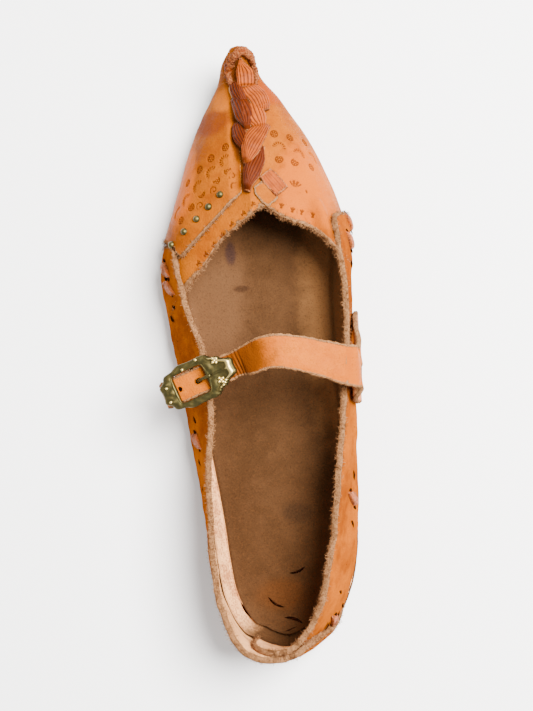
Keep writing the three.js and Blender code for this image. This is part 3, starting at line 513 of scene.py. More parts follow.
def first_places(side, levels, grow, edge):
    """For each level, where the vamp's surface comes out past an edge in plan."""
    s = np.linspace(VAMP_START - 0.5, NOSE - 0.5, 500)
    at = wall(side * s[:, None], levels[None, :], grow, True)
    past = at[..., 1] - edge(at[..., 0])
    k = np.clip(np.argmax(past > 0, axis=0), 1, None)
    columns = np.arange(len(levels))
    before, after = past[k - 1, columns], past[k, columns]
    share = np.clip(-before / np.maximum(after - before, 1e-9), 0, 1)
    return blend(s[k - 1], s[k], share)


def press(points, normals, stamps):
    """Points of a face pressed in by stamps: each a middle, a radius and a depth. Also how much each is."""
    depth = np.zeros(points.shape[:-1])
    for middle, radius, deep in stamps:
        away = np.linalg.norm(points - middle, axis=-1)
        depth = np.maximum(depth, deep * (1 - smooth(away, 0.72 * radius, 1.12 * radius)))
    return points - normals * depth[..., None], depth


def close_nose(face, forward, count):
    """Rows added past a face's last row, drawn in to a rounded tip that stands on the sole."""
    last = face[-1]
    middle = last.mean(axis=0)
    middle[2] = last[:, 2].min()
    rows = []
    for angle in np.linspace(0, math.pi / 2, count + 1)[1:]:
        row = middle + (last - middle) * max(math.cos(angle), 0.02)
        row[:, 1] += forward * math.sin(angle)
        rows.append(row)
    return np.concatenate([face, np.stack(rows)])


def both_sides(make):
    """A face that runs from the foot on the outer side over the ridge to the foot on the inner side."""
    outer, inner = make(-1), make(1)
    return np.concatenate([outer, inner[:, -2::-1]], axis=1)


# A fold on the inner side of the vamp, where it goes under the quarter, by pixels of the photograph
FOLD_LINE = [(181, 203), (187, 219), (191, 236), (199, 258)]
TROUGH_LINE = [(173, 214), (179, 228), (186, 243)]


def line_of_pixels(pixels, grow=0.0):
    knots = wall(*photo_on_vamp(pixels, grow), grow, True)
    return along_points(knots, np.linspace(0, len(knots) - 1, 40))


def near_line(points, curve, width):
    """1 on a curve and 0 beyond width from it."""
    nearest = np.full(points.shape[:-1], 1e9)
    for at in curve:
        nearest = np.minimum(nearest, np.linalg.norm(points - at, axis=-1))
    return np.exp(-(nearest / width) ** 2)


def ground(name, face):
    """A plain copy of a face, for the stamps' relief to lie on."""
    index = np.arange(face[..., 0].size).reshape(face.shape[:2])
    return make_piece(name, face.reshape(-1, 3), grid_faces(index))


def make_vamp(stamps):
    throat = edge_line(THROAT, True)
    rows = 138

    def face(grow, end):
        def half(side):
            start = side * first_places(side, HALF_LEVELS, 0, throat)
            places = spread_places(start, side * end, rows)
            return wall(places, HALF_LEVELS, grow, True)
        return both_sides(half)

    high, low = face(0, NOSE), face(-LEATHER, HOLLOW_END)
    way = unit(face(0.5, NOSE) - high)
    lumps = 0.25 * ripple(high, 30, 31) + 0.08 * ripple(high, 9, 32)
    lumps += 2.3 * near_line(high, line_of_pixels(FOLD_LINE), 2.8)
    lumps -= 1.7 * near_line(high, line_of_pixels(TROUGH_LINE), 2.8)
    high = high + way * lumps[..., None]
    low = low + way * (lumps * np.linspace(1, 0, rows)[:, None])[..., None]
    under = ground("vamp_ground", high)
    high, depth = press(high, way, stamps)
    high, low = close_nose(high, NOSE_REACH, NOSE_ROWS), close_nose(low, HOLLOW_REACH, NOSE_ROWS)
    depth = np.concatenate([depth, np.zeros((NOSE_ROWS, depth.shape[1]))])
    return leaf("vamp", high, low, fray=0.3, marks={"pressed": depth}, seed=31, raw=(3.2, 0, 0, 0)), under


def make_overlay(stamps):
    edge = edge_line(OVERLAY_EDGE, False)
    rows = 150
    girth_levels = HALF_LEVELS[:-5]
    start = first_places(-1, girth_levels, GAP + OVERLAY, edge)
    strip_front = rounded_front(OUTER_STRIP_FRONT, girth_levels) + 0.15
    start = np.maximum(start, np.where(girth_levels <= SHOULDER, strip_front, 0))
    places = spread_places(-start, -OVERLAY_FRONT + 0 * start, rows)
    ridge = line(RIDGES, places)
    girth = np.linalg.norm(line(SHOULDERS, places) - ridge, axis=-1) / (1 - SHOULDER)
    braid_edge = 1 - BRAID_WIDTH * 0.3 / girth
    v = girth_levels * np.minimum(1, braid_edge / girth_levels[-1])
    thin = (1 - 0.85 * smooth(-places, 13.8, 16.4)) * (1 - 0.8 * smooth((v - 1) * girth, -9, -5))
    low, high = (wall(places, v, (GAP + grow) * thin, True) for grow in (0, OVERLAY))
    way = unit(high - low)
    lumps = 0.2 * ripple(high, 24, 41) + 0.08 * ripple(high, 7, 42)
    high = high + way * lumps[..., None]
    under = ground("overlay_ground", high)
    high, depth = press(high, way, stamps)
    marks, raw = {"pressed": depth}, (1.5, 0, 0, 0)
    return leaf("tooled_overlay_leather", high, low, fray=0.14, marks=marks, seed=41, raw=raw), under


# The insole and the outsole
INSOLE_FRONT = NOSE - 3


def inner_face(side, s):
    at_vamp = smooth(s, VAMP_START - 1.4, VAMP_START - 0.5)
    at_heel = 1 - smooth(s, INNER_STRIP_END - 0.1, INNER_STRIP_END + 0.5) if side < 0 else 0 * s
    strip = -FUSE + 0 * s if side < 0 else inner_strip_seat(s)
    return blend(strip, -LEATHER, np.maximum(at_vamp, at_heel))


def level_at(p, rise):
    """The share of the profile at p that lies rise above its foot."""
    height = line(SHOULDERS, p)[..., 2] - line(SWELLS, p)[..., 2]
    high = (SHOULDER / 2) * (1 + (rise - SWELL_HEIGHT) / height)
    return np.where(rise < SWELL_HEIGHT, rise / SWELL_HEIGHT * SHOULDER / 2, high)


def make_insole():
    """The footbed, its rim turned up inside the wall: one leaf from rim to rim."""
    s = np.concatenate([np.linspace(0.02, 4, 62), np.linspace(4, INSOLE_FRONT, 132)[1:]])
    rises = np.linspace(RIM + INSOLE, 0.9, 12)
    floor_shares = np.linspace(0, 1, 48)[1:-1]

    def face(inset, lift):
        def side_rows(side):
            p = side * s[:, None] + 0 * rises
            skived = blend(inset, 0.3 * np.sign(inset), smooth(rises, 3, RIM))
            grown = inner_face(side, s)[:, None] - WIDE_GAP * blend(1, 0.4, smooth(rises, 3, RIM)) - skived
            arch = wall(p, level_at(p, rises), grown, True)
            plain = wall(p, level_at(p, rises), grown, False)
            return np.where((s > VAMP_START)[:, None, None], arch, plain)

        outer, inner = side_rows(-1), side_rows(1)
        left, right = outer[:, -1:], inner[:, -1:]
        floor = blend(left, right, floor_shares[None, :, None])
        across = np.linalg.norm(right - left, axis=-1)
        from_side = across * np.minimum(floor_shares, 1 - floor_shares)
        corner = 2.2 * np.exp(-from_side / 1.6)
        floor[..., 2] = foot_height(floor[..., 1]) + lift + corner
        return np.concatenate([outer, floor, inner[:, ::-1]], axis=1)

    low, high = face(0, 0), face(INSOLE, INSOLE)
    sag = 0.35 * ripple(high, 40, 51) + 0.12 * ripple(high, 11, 52)
    high[..., 2] += np.where(high[..., 2] < foot_height(high[..., 1]) + 5, sag, 0)
    rim = np.zeros(high.shape[:2])
    rim[:, :len(rises)] = smooth(s, 0, 3.2)[:, None]
    return leaf("footbed", high, low, marks={"rim": rim}, seed=51, raw=(0, 0, 0, 0))


def make_outsole():
    s = np.concatenate([np.linspace(0.03, 1, 22), np.linspace(1, NOSE - 0.2, 150)[1:]])
    shares = np.linspace(0, 1, 40)[None, :, None]

    def edge(side):
        p = side * s
        past = smooth(s, 10.1, 12.6)
        covered = blend(LEATHER, OVERLAY + GAP if side < 0 else 0, past)
        return foot_point(p) + outward(p) * (covered + SOLE_MARGIN)[:, None]

    plan = blend(edge(-1)[:, None], edge(1)[:, None], shares)
    low, high = plan.copy(), plan.copy()
    low[..., 2] = sole_bottom(plan[..., 1])
    high[..., 2] = low[..., 2] + SOLE
    return leaf("outsole_leather", low, high, rings=7, bulge=0.15, fray=0.06, seed=61)


# The strap, its forked root and the tab that holds the buckle
BUCKLE_MIDDLE = np.array([-0.307 * BALL_WIDTH, (0.467 - 0.5) * LENGTH, 1.05 * COLLAR_HEIGHT])
BUCKLE_ROLL = Matrix.Rotation(math.radians(20), 3, "Z")
BUCKLE_TILT = Matrix.Rotation(math.radians(-13), 3, "Y")
BUCKLE_TURN = np.array(BUCKLE_ROLL @ BUCKLE_TILT)
WINDOW_SHIFT = -3.4
WINDOW_WIDTH = STRAP_END + 2 * WINDOW_CLEARANCE
STRAP_SEAT = -(BUCKLE_PLATE / 2 + GAP + STRAP / 2)
BAR_SEAT = STRAP_SEAT - STRAP / 2 - TAB - 2 * GAP - BAR / 2
PRONG_RING = BAR / 2 + GAP + PRONG / 2
PRONG_HOLE = WINDOW_SHIFT + PRONG_RING + 0.6
HOLE_LENGTH = 4
HOLE_SHADOW = STRAP_HOLE + 0.3
HOLE_SHADOW_DEPTH = 0.2


def in_buckle(points):
    """Points of the buckle's own frame: u along the strap, w across it, n out of its face."""
    return np.asarray(points, float) @ BUCKLE_TURN.T + BUCKLE_MIDDLE


STRAP_ROUTE = np.array([
    # across, along, high, width
    [0.466, 0.471, 0.9, 1],
    [0.452, 0.473, 1.0, 1],
    [0.405, 0.477, 1.085, 0.95],
    [0.299, 0.489, 1.17, 0.86],
    [0.181, 0.5, 1.225, 0.82],
    [0.079, 0.505, 1.26, 0.8],
    [0.022, 0.503, 1.25, 0.79],
    [-0.032, 0.497, 1.2, 0.77],
])
SEATED = [0.5, 0.32, 0.1, -0.1, -0.32, -0.45]
TAIL_HOLE = -0.27
STRAP_HOLE_PIXEL = (115.7, 357.5)
TAIL = [(-0.5, -0.12, 0.95), (-0.53, -0.24, 0.9), (-0.53, -0.4, 0.75), (-0.52, -0.52, 0.3)]
STRAIGHT = np.array([0.0, 1.0, 0.0])
ACROSS_BUCKLE = BUCKLE_TURN @ STRAIGHT


def strap_stops():
    """The strap's middle line, the way across it and its width."""
    route = np.column_stack([
        STRAP_ROUTE[:, 0] * BALL_WIDTH,
        (STRAP_ROUTE[:, 1] - 0.5) * LENGTH,
        STRAP_ROUTE[:, 2] * COLLAR_HEIGHT,
    ])
    seated = in_buckle([(u * BUCKLE_LENGTH, 0, STRAP_SEAT) for u in SEATED])
    tail = in_buckle([(u * BUCKLE_LENGTH, 0, n * BUCKLE_LENGTH) for u, n, _ in TAIL])
    middles = np.concatenate([route, seated, tail])
    across = np.array([STRAIGHT] * len(route) + [ACROSS_BUCKLE] * (len(seated) + len(tail)))
    widths = np.concatenate([
        STRAP_ROUTE[:, 3] * STRAP_ROOT, np.full(len(seated), STRAP_END), [w * STRAP_END for _, _, w in TAIL],
    ])
    return middles, across, widths


def even_spline(points, place):
    """Catmull-Rom curve with even knots, for directions and widths."""
    padded = np.concatenate([[2 * points[0] - points[1]], points, [2 * points[-1] - points[-2]]])
    i = np.minimum(np.floor(place).astype(int), len(points) - 2)
    w = (place - i)[:, None]
    a, b, c, d = padded[i], padded[i + 1], padded[i + 2], padded[i + 3]
    return (b + w * (c - a) / 2 + w ** 2 * (a - 2.5 * b + 2 * c - d / 2)
            + w ** 3 * (1.5 * (b - c) + (d - a) / 2))


def strip_faces(middles, across, widths, thickness, count, columns):
    """Both faces of a flat strip along a path, and how far each point is along and across it."""
    middles, across = np.asarray(middles, float), np.asarray(across, float)
    place = np.linspace(0, len(middles) - 1, count)
    at = along_points(middles, place)
    length = np.concatenate([[0], np.cumsum(np.linalg.norm(np.diff(at, axis=0), axis=1))])
    place = np.interp(np.linspace(0, length[-1], count), length, place)
    at = along_points(middles, place)
    tangent = unit(np.gradient(at, axis=0))
    side = even_spline(across, place)
    side = unit(side - np.sum(side * tangent, axis=1, keepdims=True) * tangent)
    normal = unit(np.cross(tangent, side))
    wide = even_spline(np.asarray(widths, float)[:, None], place)
    q = np.linspace(-1, 1, columns)
    middle = at[:, None] + side[:, None] * (q[None, :, None] * wide[:, None] / 2)
    step = normal[:, None] * thickness / 2
    along = np.linspace(0, length[-1], count)[:, None] + 0 * q
    return middle + step, middle - step, along, q * wide / 2 + 0 * along


def cut_hole(piece, middle, axis_turn, width, length, depth):
    """Cuts a punched hole, a slot where length is more than width, and marks its wall as cut edge."""
    cutter = bmesh.new()
    outline = []
    for k in range(20):
        angle = 2 * math.pi * k / 20
        shift = math.copysign((length - width) / 2, math.cos(angle)) if length > width else 0
        outline.append((width / 2 * math.cos(angle) + shift, width / 2 * math.sin(angle)))
    rings = []
    for n in (-depth / 2, depth / 2):
        corners = [middle + axis_turn @ np.array([u, w, n]) for u, w in outline]
        rings.append([cutter.verts.new(corner * MM) for corner in corners])
    cutter.faces.new(rings[0][::-1])
    cutter.faces.new(rings[1])
    for k in range(20):
        a, b = k, (k + 1) % 20
        cutter.faces.new([rings[0][a], rings[0][b], rings[1][b], rings[1][a]])
    mesh = bpy.data.meshes.new("punch")
    cutter.to_mesh(mesh)
    cutter.free()
    mesh.attributes.new("edge", "FLOAT", "POINT").data.foreach_set("value", np.ones(40, np.float32))
    tool = put("punch", mesh)
    boolean = piece.modifiers.new("punch", "BOOLEAN")
    boolean.operation, boolean.solver, boolean.object = "DIFFERENCE", "EXACT", tool
    apply_modifiers(piece)
    bpy.data.objects.remove(tool)


def apply_modifiers(piece):
    """The evaluated object becomes the piece's plain mesh."""
    shown = piece.evaluated_get(bpy.context.evaluated_depsgraph_get())
    mesh = bpy.data.meshes.new_from_object(shown)
    piece.modifiers.clear()
    old = piece.data
    piece.data = mesh
    mesh.name = piece.name
    bpy.data.meshes.remove(old)


CREASES = [(59.5, 0.5), (61.3, 0.7), (63.3, 0.45), (65.2, 0.6), (67.4, 0.35)]
LEG_SPREAD = {1: 0.545, -1: 0.43}
LEG_STOPS = [(0.6, 0.62, 1.5), (0.54, 0.88, 0.8), (0.47, 1, 0.7), (0.4, 1, WIDE_GAP)]


def make_leg(side):
    """One leg of the forked root, down the outside of the inner wall."""
    fold, over = (np.array([row[0] * BALL_WIDTH, (row[1] - 0.5) * LENGTH, row[2] * COLLAR_HEIGHT])
                  for row in (STRAP_ROUTE[0], STRAP_ROUTE[2]))
    shift = np.array([0, side * (STRAP_ROOT - LEG_WIDTH) / 2, 0])
    y = (LEG_SPREAD[side] - 0.5) * LENGTH
    middles, across = [over + shift, fold + shift], [STRAIGHT, STRAIGHT]
    for level, spread, off in LEG_STOPS:
        p = place_on(SWELLS, 1, np.array(blend(fold[1] + shift[1], y, spread)))
        middles.append(wall(p, level, LEATHER - FUSE + off + STRAP / 2))
        across.append(along_wall(p))
    high, low, _, _ = strip_faces(middles, across, [LEG_WIDTH] * len(middles), STRAP, 70, 14)
    return leaf("leg", high, low, fray=0.15, seed=70 + side)


def make_strap():
    low, high, along, across = strip_faces(*strap_stops(), STRAP, 300, 26)
    way = unit(high - low)
    lumps = 0.16 * ripple(high, 22, 71) + 0.05 * ripple(high, 6, 72)
    for place, deep in CREASES:
        fold = np.exp(-((along - place - 0.12 * across) / 0.55) ** 2)
        lumps -= deep * fold * (1 - 0.5 * smooth(across, 0, 6))
    edge_curl = 0.35 * smooth(np.abs(across), 5.0, 8.0)
    moved = way * (lumps - edge_curl)[..., None]
    high, low = high + moved, low + moved
    main = leaf("instep_strap", high, low, fray=0.16, seed=71)
    middle = (high + low)[:, 13] / 2
    at = np.argmin(np.linalg.norm(photo_pixel(middle) - STRAP_HOLE_PIXEL, axis=1))
    along_there, across_there = unit(middle[at + 1] - middle[at]), unit(high[at, 20] - high[at, 5])
    turn_there = np.stack([along_there, across_there, way[at, 13]], axis=1)
    prong_hole, tail_hole = (in_buckle([u, 0, STRAP_SEAT]) for u in (PRONG_HOLE, TAIL_HOLE * BUCKLE_LENGTH))
    for hole, turn, length in ((prong_hole, BUCKLE_TURN, HOLE_LENGTH), (tail_hole, BUCKLE_TURN, 0),
                               (middle[at], turn_there, 0)):
        cut_hole(main, hole, turn, STRAP_HOLE, length, 4 * STRAP)
    # Dark lenses down in the tail hole and the eye: painted shade in the holes
    tail = in_buckle([TAIL_HOLE * BUCKLE_LENGTH, 0, STRAP_SEAT - HOLE_SHADOW_DEPTH])
    eye = middle[at] - way[at, 13] * HOLE_SHADOW_DEPTH
    hole_shadows = [lens(hole, turn[:, 0], turn[:, 2], HOLE_SHADOW, HOLE_SHADOW, 0.05)
              for hole, turn in ((tail, BUCKLE_TURN), (eye, turn_there))]
    return [main, make_leg(1), make_leg(-1)], hole_shadows


def round_bar(start, end, count, radius):
    angles = np.radians(np.linspace(start, end, count))
    return [(WINDOW_SHIFT + radius * math.cos(a), 0, BAR_SEAT + radius * math.sin(a)) for a in angles]


def make_tab():
    hook = in_buckle(round_bar(-40, 180, 8, BAR / 2 + GAP + TAB / 2))
    p = place_on(SWELLS, -1, np.array(BUCKLE_MIDDLE[1]))
    seat = LEATHER - FUSE + WIDE_GAP + TAB / 2
    on_wall = [wall(p, v, seat) for v in (0.52, 0.45, 0.38)]
    across = [ACROSS_BUCKLE] * len(hook) + [along_wall(p)] * len(on_wall)
    low, high, _, _ = strip_faces([*hook, *on_wall], across, [TAB_WIDTH] * len(across), TAB, 90, 16)
    tab = leaf("holding_tab", high, low, fray=0.1, seed=81)
    room = 2 * (BAR / 2 + GAP + TAB / 2 + TAB)
    turn = BUCKLE_TURN @ np.array(Matrix.Rotation(math.radians(90), 3, "X"))
    cut_hole(tab, in_buckle([WINDOW_SHIFT, 0, BAR_SEAT]), turn, room, 0, PRONG + 3 * GAP)
    return tab


# The buckle: frame, bar, beads and prong
def rod(name, points, radii, sides=14, count=60):
    """A round rod along a path, with rounded ends."""
    place = np.linspace(0, len(points) - 1, count)
    at = along_points(points, place)
    radius = np.interp(place, np.linspace(0, len(points) - 1, len(radii)), radii)
    tangent = unit(np.gradient(at, axis=0))
    side = unit(np.cross(tangent, np.roll(tangent[0], 1) + 0.1))
    for i in range(1, count):
        side[i] = side[i - 1] - tangent[i] * np.dot(side[i - 1], tangent[i])
        side[i] /= np.linalg.norm(side[i])
    other = np.cross(tangent, side)
    angles = np.linspace(0, 2 * math.pi, sides, endpoint=False)
    ring = np.cos(angles)[None, :, None] * side[:, None] + np.sin(angles)[None, :, None] * other[:, None]
    rings = [at[:1, None] - tangent[:1, None] * radius[0] * 0.6 + ring[:1] * radius[0] * 0.6,
             at[:, None] + ring * radius[:, None, None],
             at[-1:, None] + tangent[-1:, None] * radius[-1] * 0.6 + ring[-1:] * radius[-1] * 0.6]
    points = np.concatenate(rings)
    rows = len(points)
    index = np.arange(rows * sides).reshape(rows, sides)
    index = np.concatenate([index, index[:, :1]], axis=1)
    faces = [list(face) for face in grid_faces(index)[:, ::-1]]
    faces += [list(range(sides)), list(range(rows * sides - 1, (rows - 1) * sides - 1, -1))]
    return make_piece(name, points.reshape(-1, 3), faces)


def dome(name, middle, normal, radius, height, dents=0.0, seed=0, sides=28, rings=9):
    """A low dome on a surface, closed underneath."""
    normal = unit(np.asarray(normal, float))
    side = unit(np.cross(normal, [0.3, 1.0, 0.2]))
    other = np.cross(normal, side)
    points, faces = [middle + normal * height], []
    for k in range(1, rings + 1):
        tilt = k / rings * math.pi / 2
        for a in np.linspace(0, 2 * math.pi, sides, endpoint=False):
            wide = radius * math.sin(tilt)
            points.append(middle + (side * math.cos(a) + other * math.sin(a)) * wide
                          + normal * height * math.cos(tilt))
    for k in range(rings + 1):
        for a in range(sides):
            b = (a + 1) % sides
            low, high = 1 + (k - 1) * sides, 1 + k * sides
            if k == 0:
                faces.append([0, high + a, high + b])
            elif k < rings:
                faces.append([low + a, high + a, high + b, low + b])
    faces.append(list(range(1 + (rings - 1) * sides, 1 + rings * sides))[::-1])
    points = np.array(points)
    points += dents * ripple(points, radius, seed)[:, None] * normal
    return make_piece(name, points, faces)


LOBES = 6
LOBE_DEPTH = 0.06
LEAF_WAIST = 0.64
BUCKLE_FULLNESS = 0.8
BEADS = [(77.4, 359.3), (84.3, 378.8)]
LOBE_BEADS = [(28.6, 388), (33.2, 401.8), (44.5, 369), (58, 359)]


def photo_in_buckle(pixel):
    """The place (u, w) of the buckle's face that shows at a pixel of the photograph."""
    floor = photo_ray(*pixel)
    way = PHOTO_EYE - floor
    face = BUCKLE_MIDDLE + BUCKLE_TURN[:, 2] * BUCKLE_PLATE / 2
    share = np.dot(face - floor, BUCKLE_TURN[:, 2]) / np.dot(way, BUCKLE_TURN[:, 2])
    return (BUCKLE_TURN.T @ (floor + way * share - BUCKLE_MIDDLE))[:2]


def make_buckle():
    angles = np.linspace(0, 2 * math.pi, 340, endpoint=False)
    c, s = np.cos(angles), np.sin(angles)
    lobes = 1 - LOBE_DEPTH * np.cos(LOBES * angles) ** 2
    leaf_waist = 1 - LEAF_WAIST * np.maximum(0, c) ** 2 * s ** 2
    teeth = 1 - 0.018 * np.sin(46 * angles) * smooth(-s, 0.3, 0.6) * smooth(c, 0.1, 0.4)
    rim_u = BUCKLE_LENGTH / 2 * np.sign(c) * np.abs(c) ** BUCKLE_FULLNESS * lobes * leaf_waist * teeth
    rim_w = BUCKLE_WIDTH / 2 * np.sign(s) * np.abs(s) ** BUCKLE_FULLNESS * lobes * leaf_waist * teeth
    way_u, way_w = rim_u - WINDOW_SHIFT, rim_w
    reach = (np.abs(2 * way_u / WINDOW_LENGTH) ** 9 + np.abs(2 * way_w / WINDOW_WIDTH) ** 9) ** (1 / 9)
    in_u, in_w = WINDOW_SHIFT + way_u / reach, way_w / reach
    t = np.linspace(0, 1, 32)[:, None]
    u, w = blend(in_u, rim_u, t), blend(in_w, rim_w, t)
    swell = 0.75 * np.sin(math.pi * np.clip(t, 0.02, 0.98)) ** 0.7
    window_lip = 0.35 * np.exp(-((t - 0.06) / 0.05) ** 2)
    tip = smooth(u, 6.5, 9.5)
    leaf_rim = 1.0 * np.exp(-((t - 0.86) / 0.1) ** 2) * tip
    hollow = -0.55 * np.exp(-((t - 0.5) / 0.22) ** 2) * tip
    vein = 0.45 * np.exp(-(w / 0.5) ** 2) * tip * (1 - smooth(u, 14, 16))
    scroll = 0.09 * np.sin(1.5 * u + 2.2 * np.cos(0.9 * w)) * np.sin(math.pi * t) * (1 - tip)
    left = smooth(-u, 11.5, 14) * 0.16 * np.cos(1.4 * w)
    height = BUCKLE_PLATE / 2 - 0.4 + swell + window_lip + leaf_rim + hollow + vein + scroll + left
    height -= 0.35 * smooth(t, 0.93, 1)
    top = in_buckle(np.stack([u, w, height], axis=-1))
    bottom = in_buckle(np.stack([u, w, -BUCKLE_PLATE / 2 + 0 * u], axis=-1))
    count = len(t) * len(angles)
    index = np.arange(count).reshape(len(t), len(angles))
    index = np.concatenate([index, index[:, :1]], axis=1)
    walls = [np.stack([index[k, :-1], index[k, 1:], index[k, 1:] + count, index[k, :-1] + count], axis=-1)
             for k in (0, -1)]
    face = grid_faces(index)
    faces = np.concatenate([face, face[:, ::-1] + count, walls[0][:, ::-1], walls[1]])
    worn = np.clip((height - BUCKLE_PLATE / 2 - 0.15) / 0.8, 0, 1)
    marks = {"worn": np.concatenate([worn.ravel(), np.zeros(count)])}
    pieces = [make_piece("buckle_plate", np.concatenate([top.reshape(-1, 3), bottom.reshape(-1, 3)]),
                         faces[:, ::-1], marks)]
    normal = BUCKLE_TURN[:, 2]
    for pixel in BEADS:
        middle = photo_in_buckle(pixel)
        for turn in range(5):
            angle = turn * math.pi / 2 + 0.4
            away = 0 if turn == 4 else 1.15
            place = in_buckle([middle[0] + away * math.cos(angle), middle[1] + away * math.sin(angle), 1.2])
            pieces.append(mark_all(dome("bead", place, normal, 0.78, 0.85, sides=16, rings=6), worn=0.95))
    for pixel in LOBE_BEADS:
        place = in_buckle([*photo_in_buckle(pixel), 1.1])
        pieces.append(mark_all(dome("bead", place, normal, 0.7, 0.7, sides=16, rings=6), worn=0.95))
    for side in (-1, 1):
        w = side * (WINDOW_WIDTH + BAR) / 2
        ends = in_buckle([(WINDOW_SHIFT, w, n) for n in (0, (BAR_SEAT - 0.2) / 2, BAR_SEAT)])
        pieces.append(rod("post", ends, [0.8, 0.8], 12, 8))
    ends = in_buckle([(WINDOW_SHIFT, x * WINDOW_WIDTH / 2 * 1.1, BAR_SEAT) for x in (-1, 0, 1)])
    pieces.append(rod("bar", ends, [BAR / 2, BAR / 2], 16, 10))
    return pieces


def make_prong():
    edge = WINDOW_SHIFT + WINDOW_LENGTH / 2
    over = BUCKLE_PLATE / 2 + GAP + PRONG / 2
    route = in_buckle([
        *round_bar(105, 350, 9, PRONG_RING),
        (PRONG_HOLE, 0, STRAP_SEAT),
        (PRONG_HOLE + 0.9, 0, STRAP_SEAT + STRAP / 2 + GAP + PRONG / 2),
        (edge - 1, 0, over * 0.9),
        (edge + 2.2, 0, over + 0.25),
    ])
    return rod("prong", route, [PRONG / 2] * 12 + [PRONG / 2 * 1.15], 16, 90)


def make_studs():
    studs = []
    for k in range(1, 6):
        low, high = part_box(f"stud_{k}")
        middle = np.array((low + high) / 2) / MM
        p, v = on_vamp(middle[0], middle[1])
        at, over = (wall(p, v, OVERLAY + 2 * GAP + lift, True) for lift in (0, 1))
        studs.append(dome("stud", at - (over - at) * 0.5, over - at, STUD / 2, STUD_HEIGHT + 0.5, 0.04, k))
    return studs


# The braid: strips of leather laid along and across the ridge
RIDGE_END = 137.0
TAB_GROOVE = 0.42


def ridge_place(pixel):
    """How far across the ridge and how far along the shoe a pixel of the photograph lies, in millimetres."""
    floor = photo_ray(*pixel)
    y = floor[1]
    for _ in range(6):
        top = line(RIDGES, place_on(RIDGES, 1, np.array(min(y, RIDGE_END))))
        at = floor + (PHOTO_EYE - floor) * (top[2] + 3) / PHOTO_EYE[2]
        y = at[1]
    return np.array([at[0] - top[0], at[1]])


def over_ridge(across, y, height):
    """Points over the vamp near its ridge, height above it."""
    past = np.maximum(y - RIDGE_END, 0)
    s = place_on(RIDGES, 1, np.minimum(y, RIDGE_END))
    p = np.where(across < 0, -s, s)
    girth = np.linalg.norm(line(SHOULDERS, p) - line(RIDGES, p), axis=-1) / (1 - SHOULDER)
    v = np.clip(1 - np.abs(across) / girth, 0.3, 1)
    at = wall(p, v, 0, True)
    normal = wall_normal(p, np.minimum(v, 0.995), True)
    level = unit(normal + wall_normal(-p, np.minimum(v, 0.995), True))
    normal = unit(blend(level, normal, smooth(np.abs(across), 0.5, 6)[..., None]))
    at = at + normal * height[..., None]
    at[..., 1] += past
    return at


TABS = [
    # start, end, width, bend, ribs, first height, last height, tone, tips
    # The low tones are partly stain and partly painted shade, on the strips that face away from the light
    ((107.5, 83), (103, 52), 7.2, 0.5, 6, 2.6, 2.4, 0.75, (0.95, 0.2)),
    ((97, 76), (107, 101), 6.4, 0.4, 6, 1.6, 2.4, 0.15, (0.9, 0.7)),
    ((110, 80), (125, 108), 8.2, -0.9, 7, 1.8, 3.0, 0.7, (0.7, 0.9)),
    ((99, 92), (111.5, 129), 7.8, -0.5, 6, 1.6, 3.6, 0.15, (0.95, 0.25)),
    ((114, 100), (122, 126), 8.6, 0.5, 6, 1.8, 3.3, 0.8, (0.9, 0.6)),
    ((99, 119), (109, 147), 6.2, 0.4, 6, 1.4, 2.8, 0.1, (0.9, 0.55)),
    ((127, 120), (110, 163), 7.8, 1.6, 8, 1.8, 3.6, 0.62, (0.75, 0.5)),
    ((124, 142), (110, 189), 7.4, 0.4, 7, 0.9, 3.0, 0.08, (0.4, 0.4)),
]


def make_braid_tab(number, start, end, width, bend, ribs, first, last, tone, tips):
    a, b = ridge_place(start), ridge_place(end)
    t = np.linspace(0, 1, 52)[:, None]
    q = np.linspace(-1, 1, 40)[None, :]
    way = unit(b - a)
    side = np.array([way[1], -way[0]])
    widen = blend(tips[0], 1, smooth(t, 0, 0.35)) * blend(1, tips[1], smooth(t, 0.55, 1.0) ** 1.4)
    middle = a + (b - a) * t[..., None] + side * (bend * np.sin(math.pi * t))[..., None]
    plan = middle + side * (q * widen * width / 2)[..., None]
    lift = blend(first, last, smooth(t, 0.05, 0.6))
    lift = lift - 1.9 * smooth(t, 0.88, 1.0) - 1.2 * (1 - smooth(t, 0, 0.12))
    groove = TAB_GROOVE * np.abs(np.sin(ribs * math.pi * (q + 1) / 2)) ** 0.7 * smooth(1 - np.abs(q), 0, 0.1)
    crown = 1.15 * (1 - np.abs(q) ** 2.4)
    flat = np.stack([plan[..., 0], plan[..., 1], 0 * plan[..., 0]], axis=-1)
    high = lift + crown + groove + 0.12 * ripple(flat, 4, number)
    low = np.maximum(lift + crown - 1.5, 0.2)
    top, bottom = (over_ridge(plan[..., 0], plan[..., 1], h) for h in (np.maximum(high, low + 0.5), low))
    # pressed is highest between the ribs, where the braid's material paints shade in the grooves
    marks = {"tone": np.full(q.shape[1] * len(t), tone), "pressed": 0.7 * (1 - groove / TAB_GROOVE) + 0 * t}
    return leaf("braid_tab", top, bottom, rings=2, bulge=0.15, fray=0.12, marks=marks, seed=100 + number,
                raw=(0.5, 1.0, 0.9, 0.5))


NOSE_RIM = [
    (94, 81), (90, 69), (91.5, 58), (97.5, 48.5), (104, 44.5), (111.5, 48.5), (115, 58), (117, 67),
    (119, 79),
]
NOSE_RIM_SIZES = [1.0, 1.6, 1.8, 1.9, 2.1, 1.7, 1.2, 1.1, 0.9]


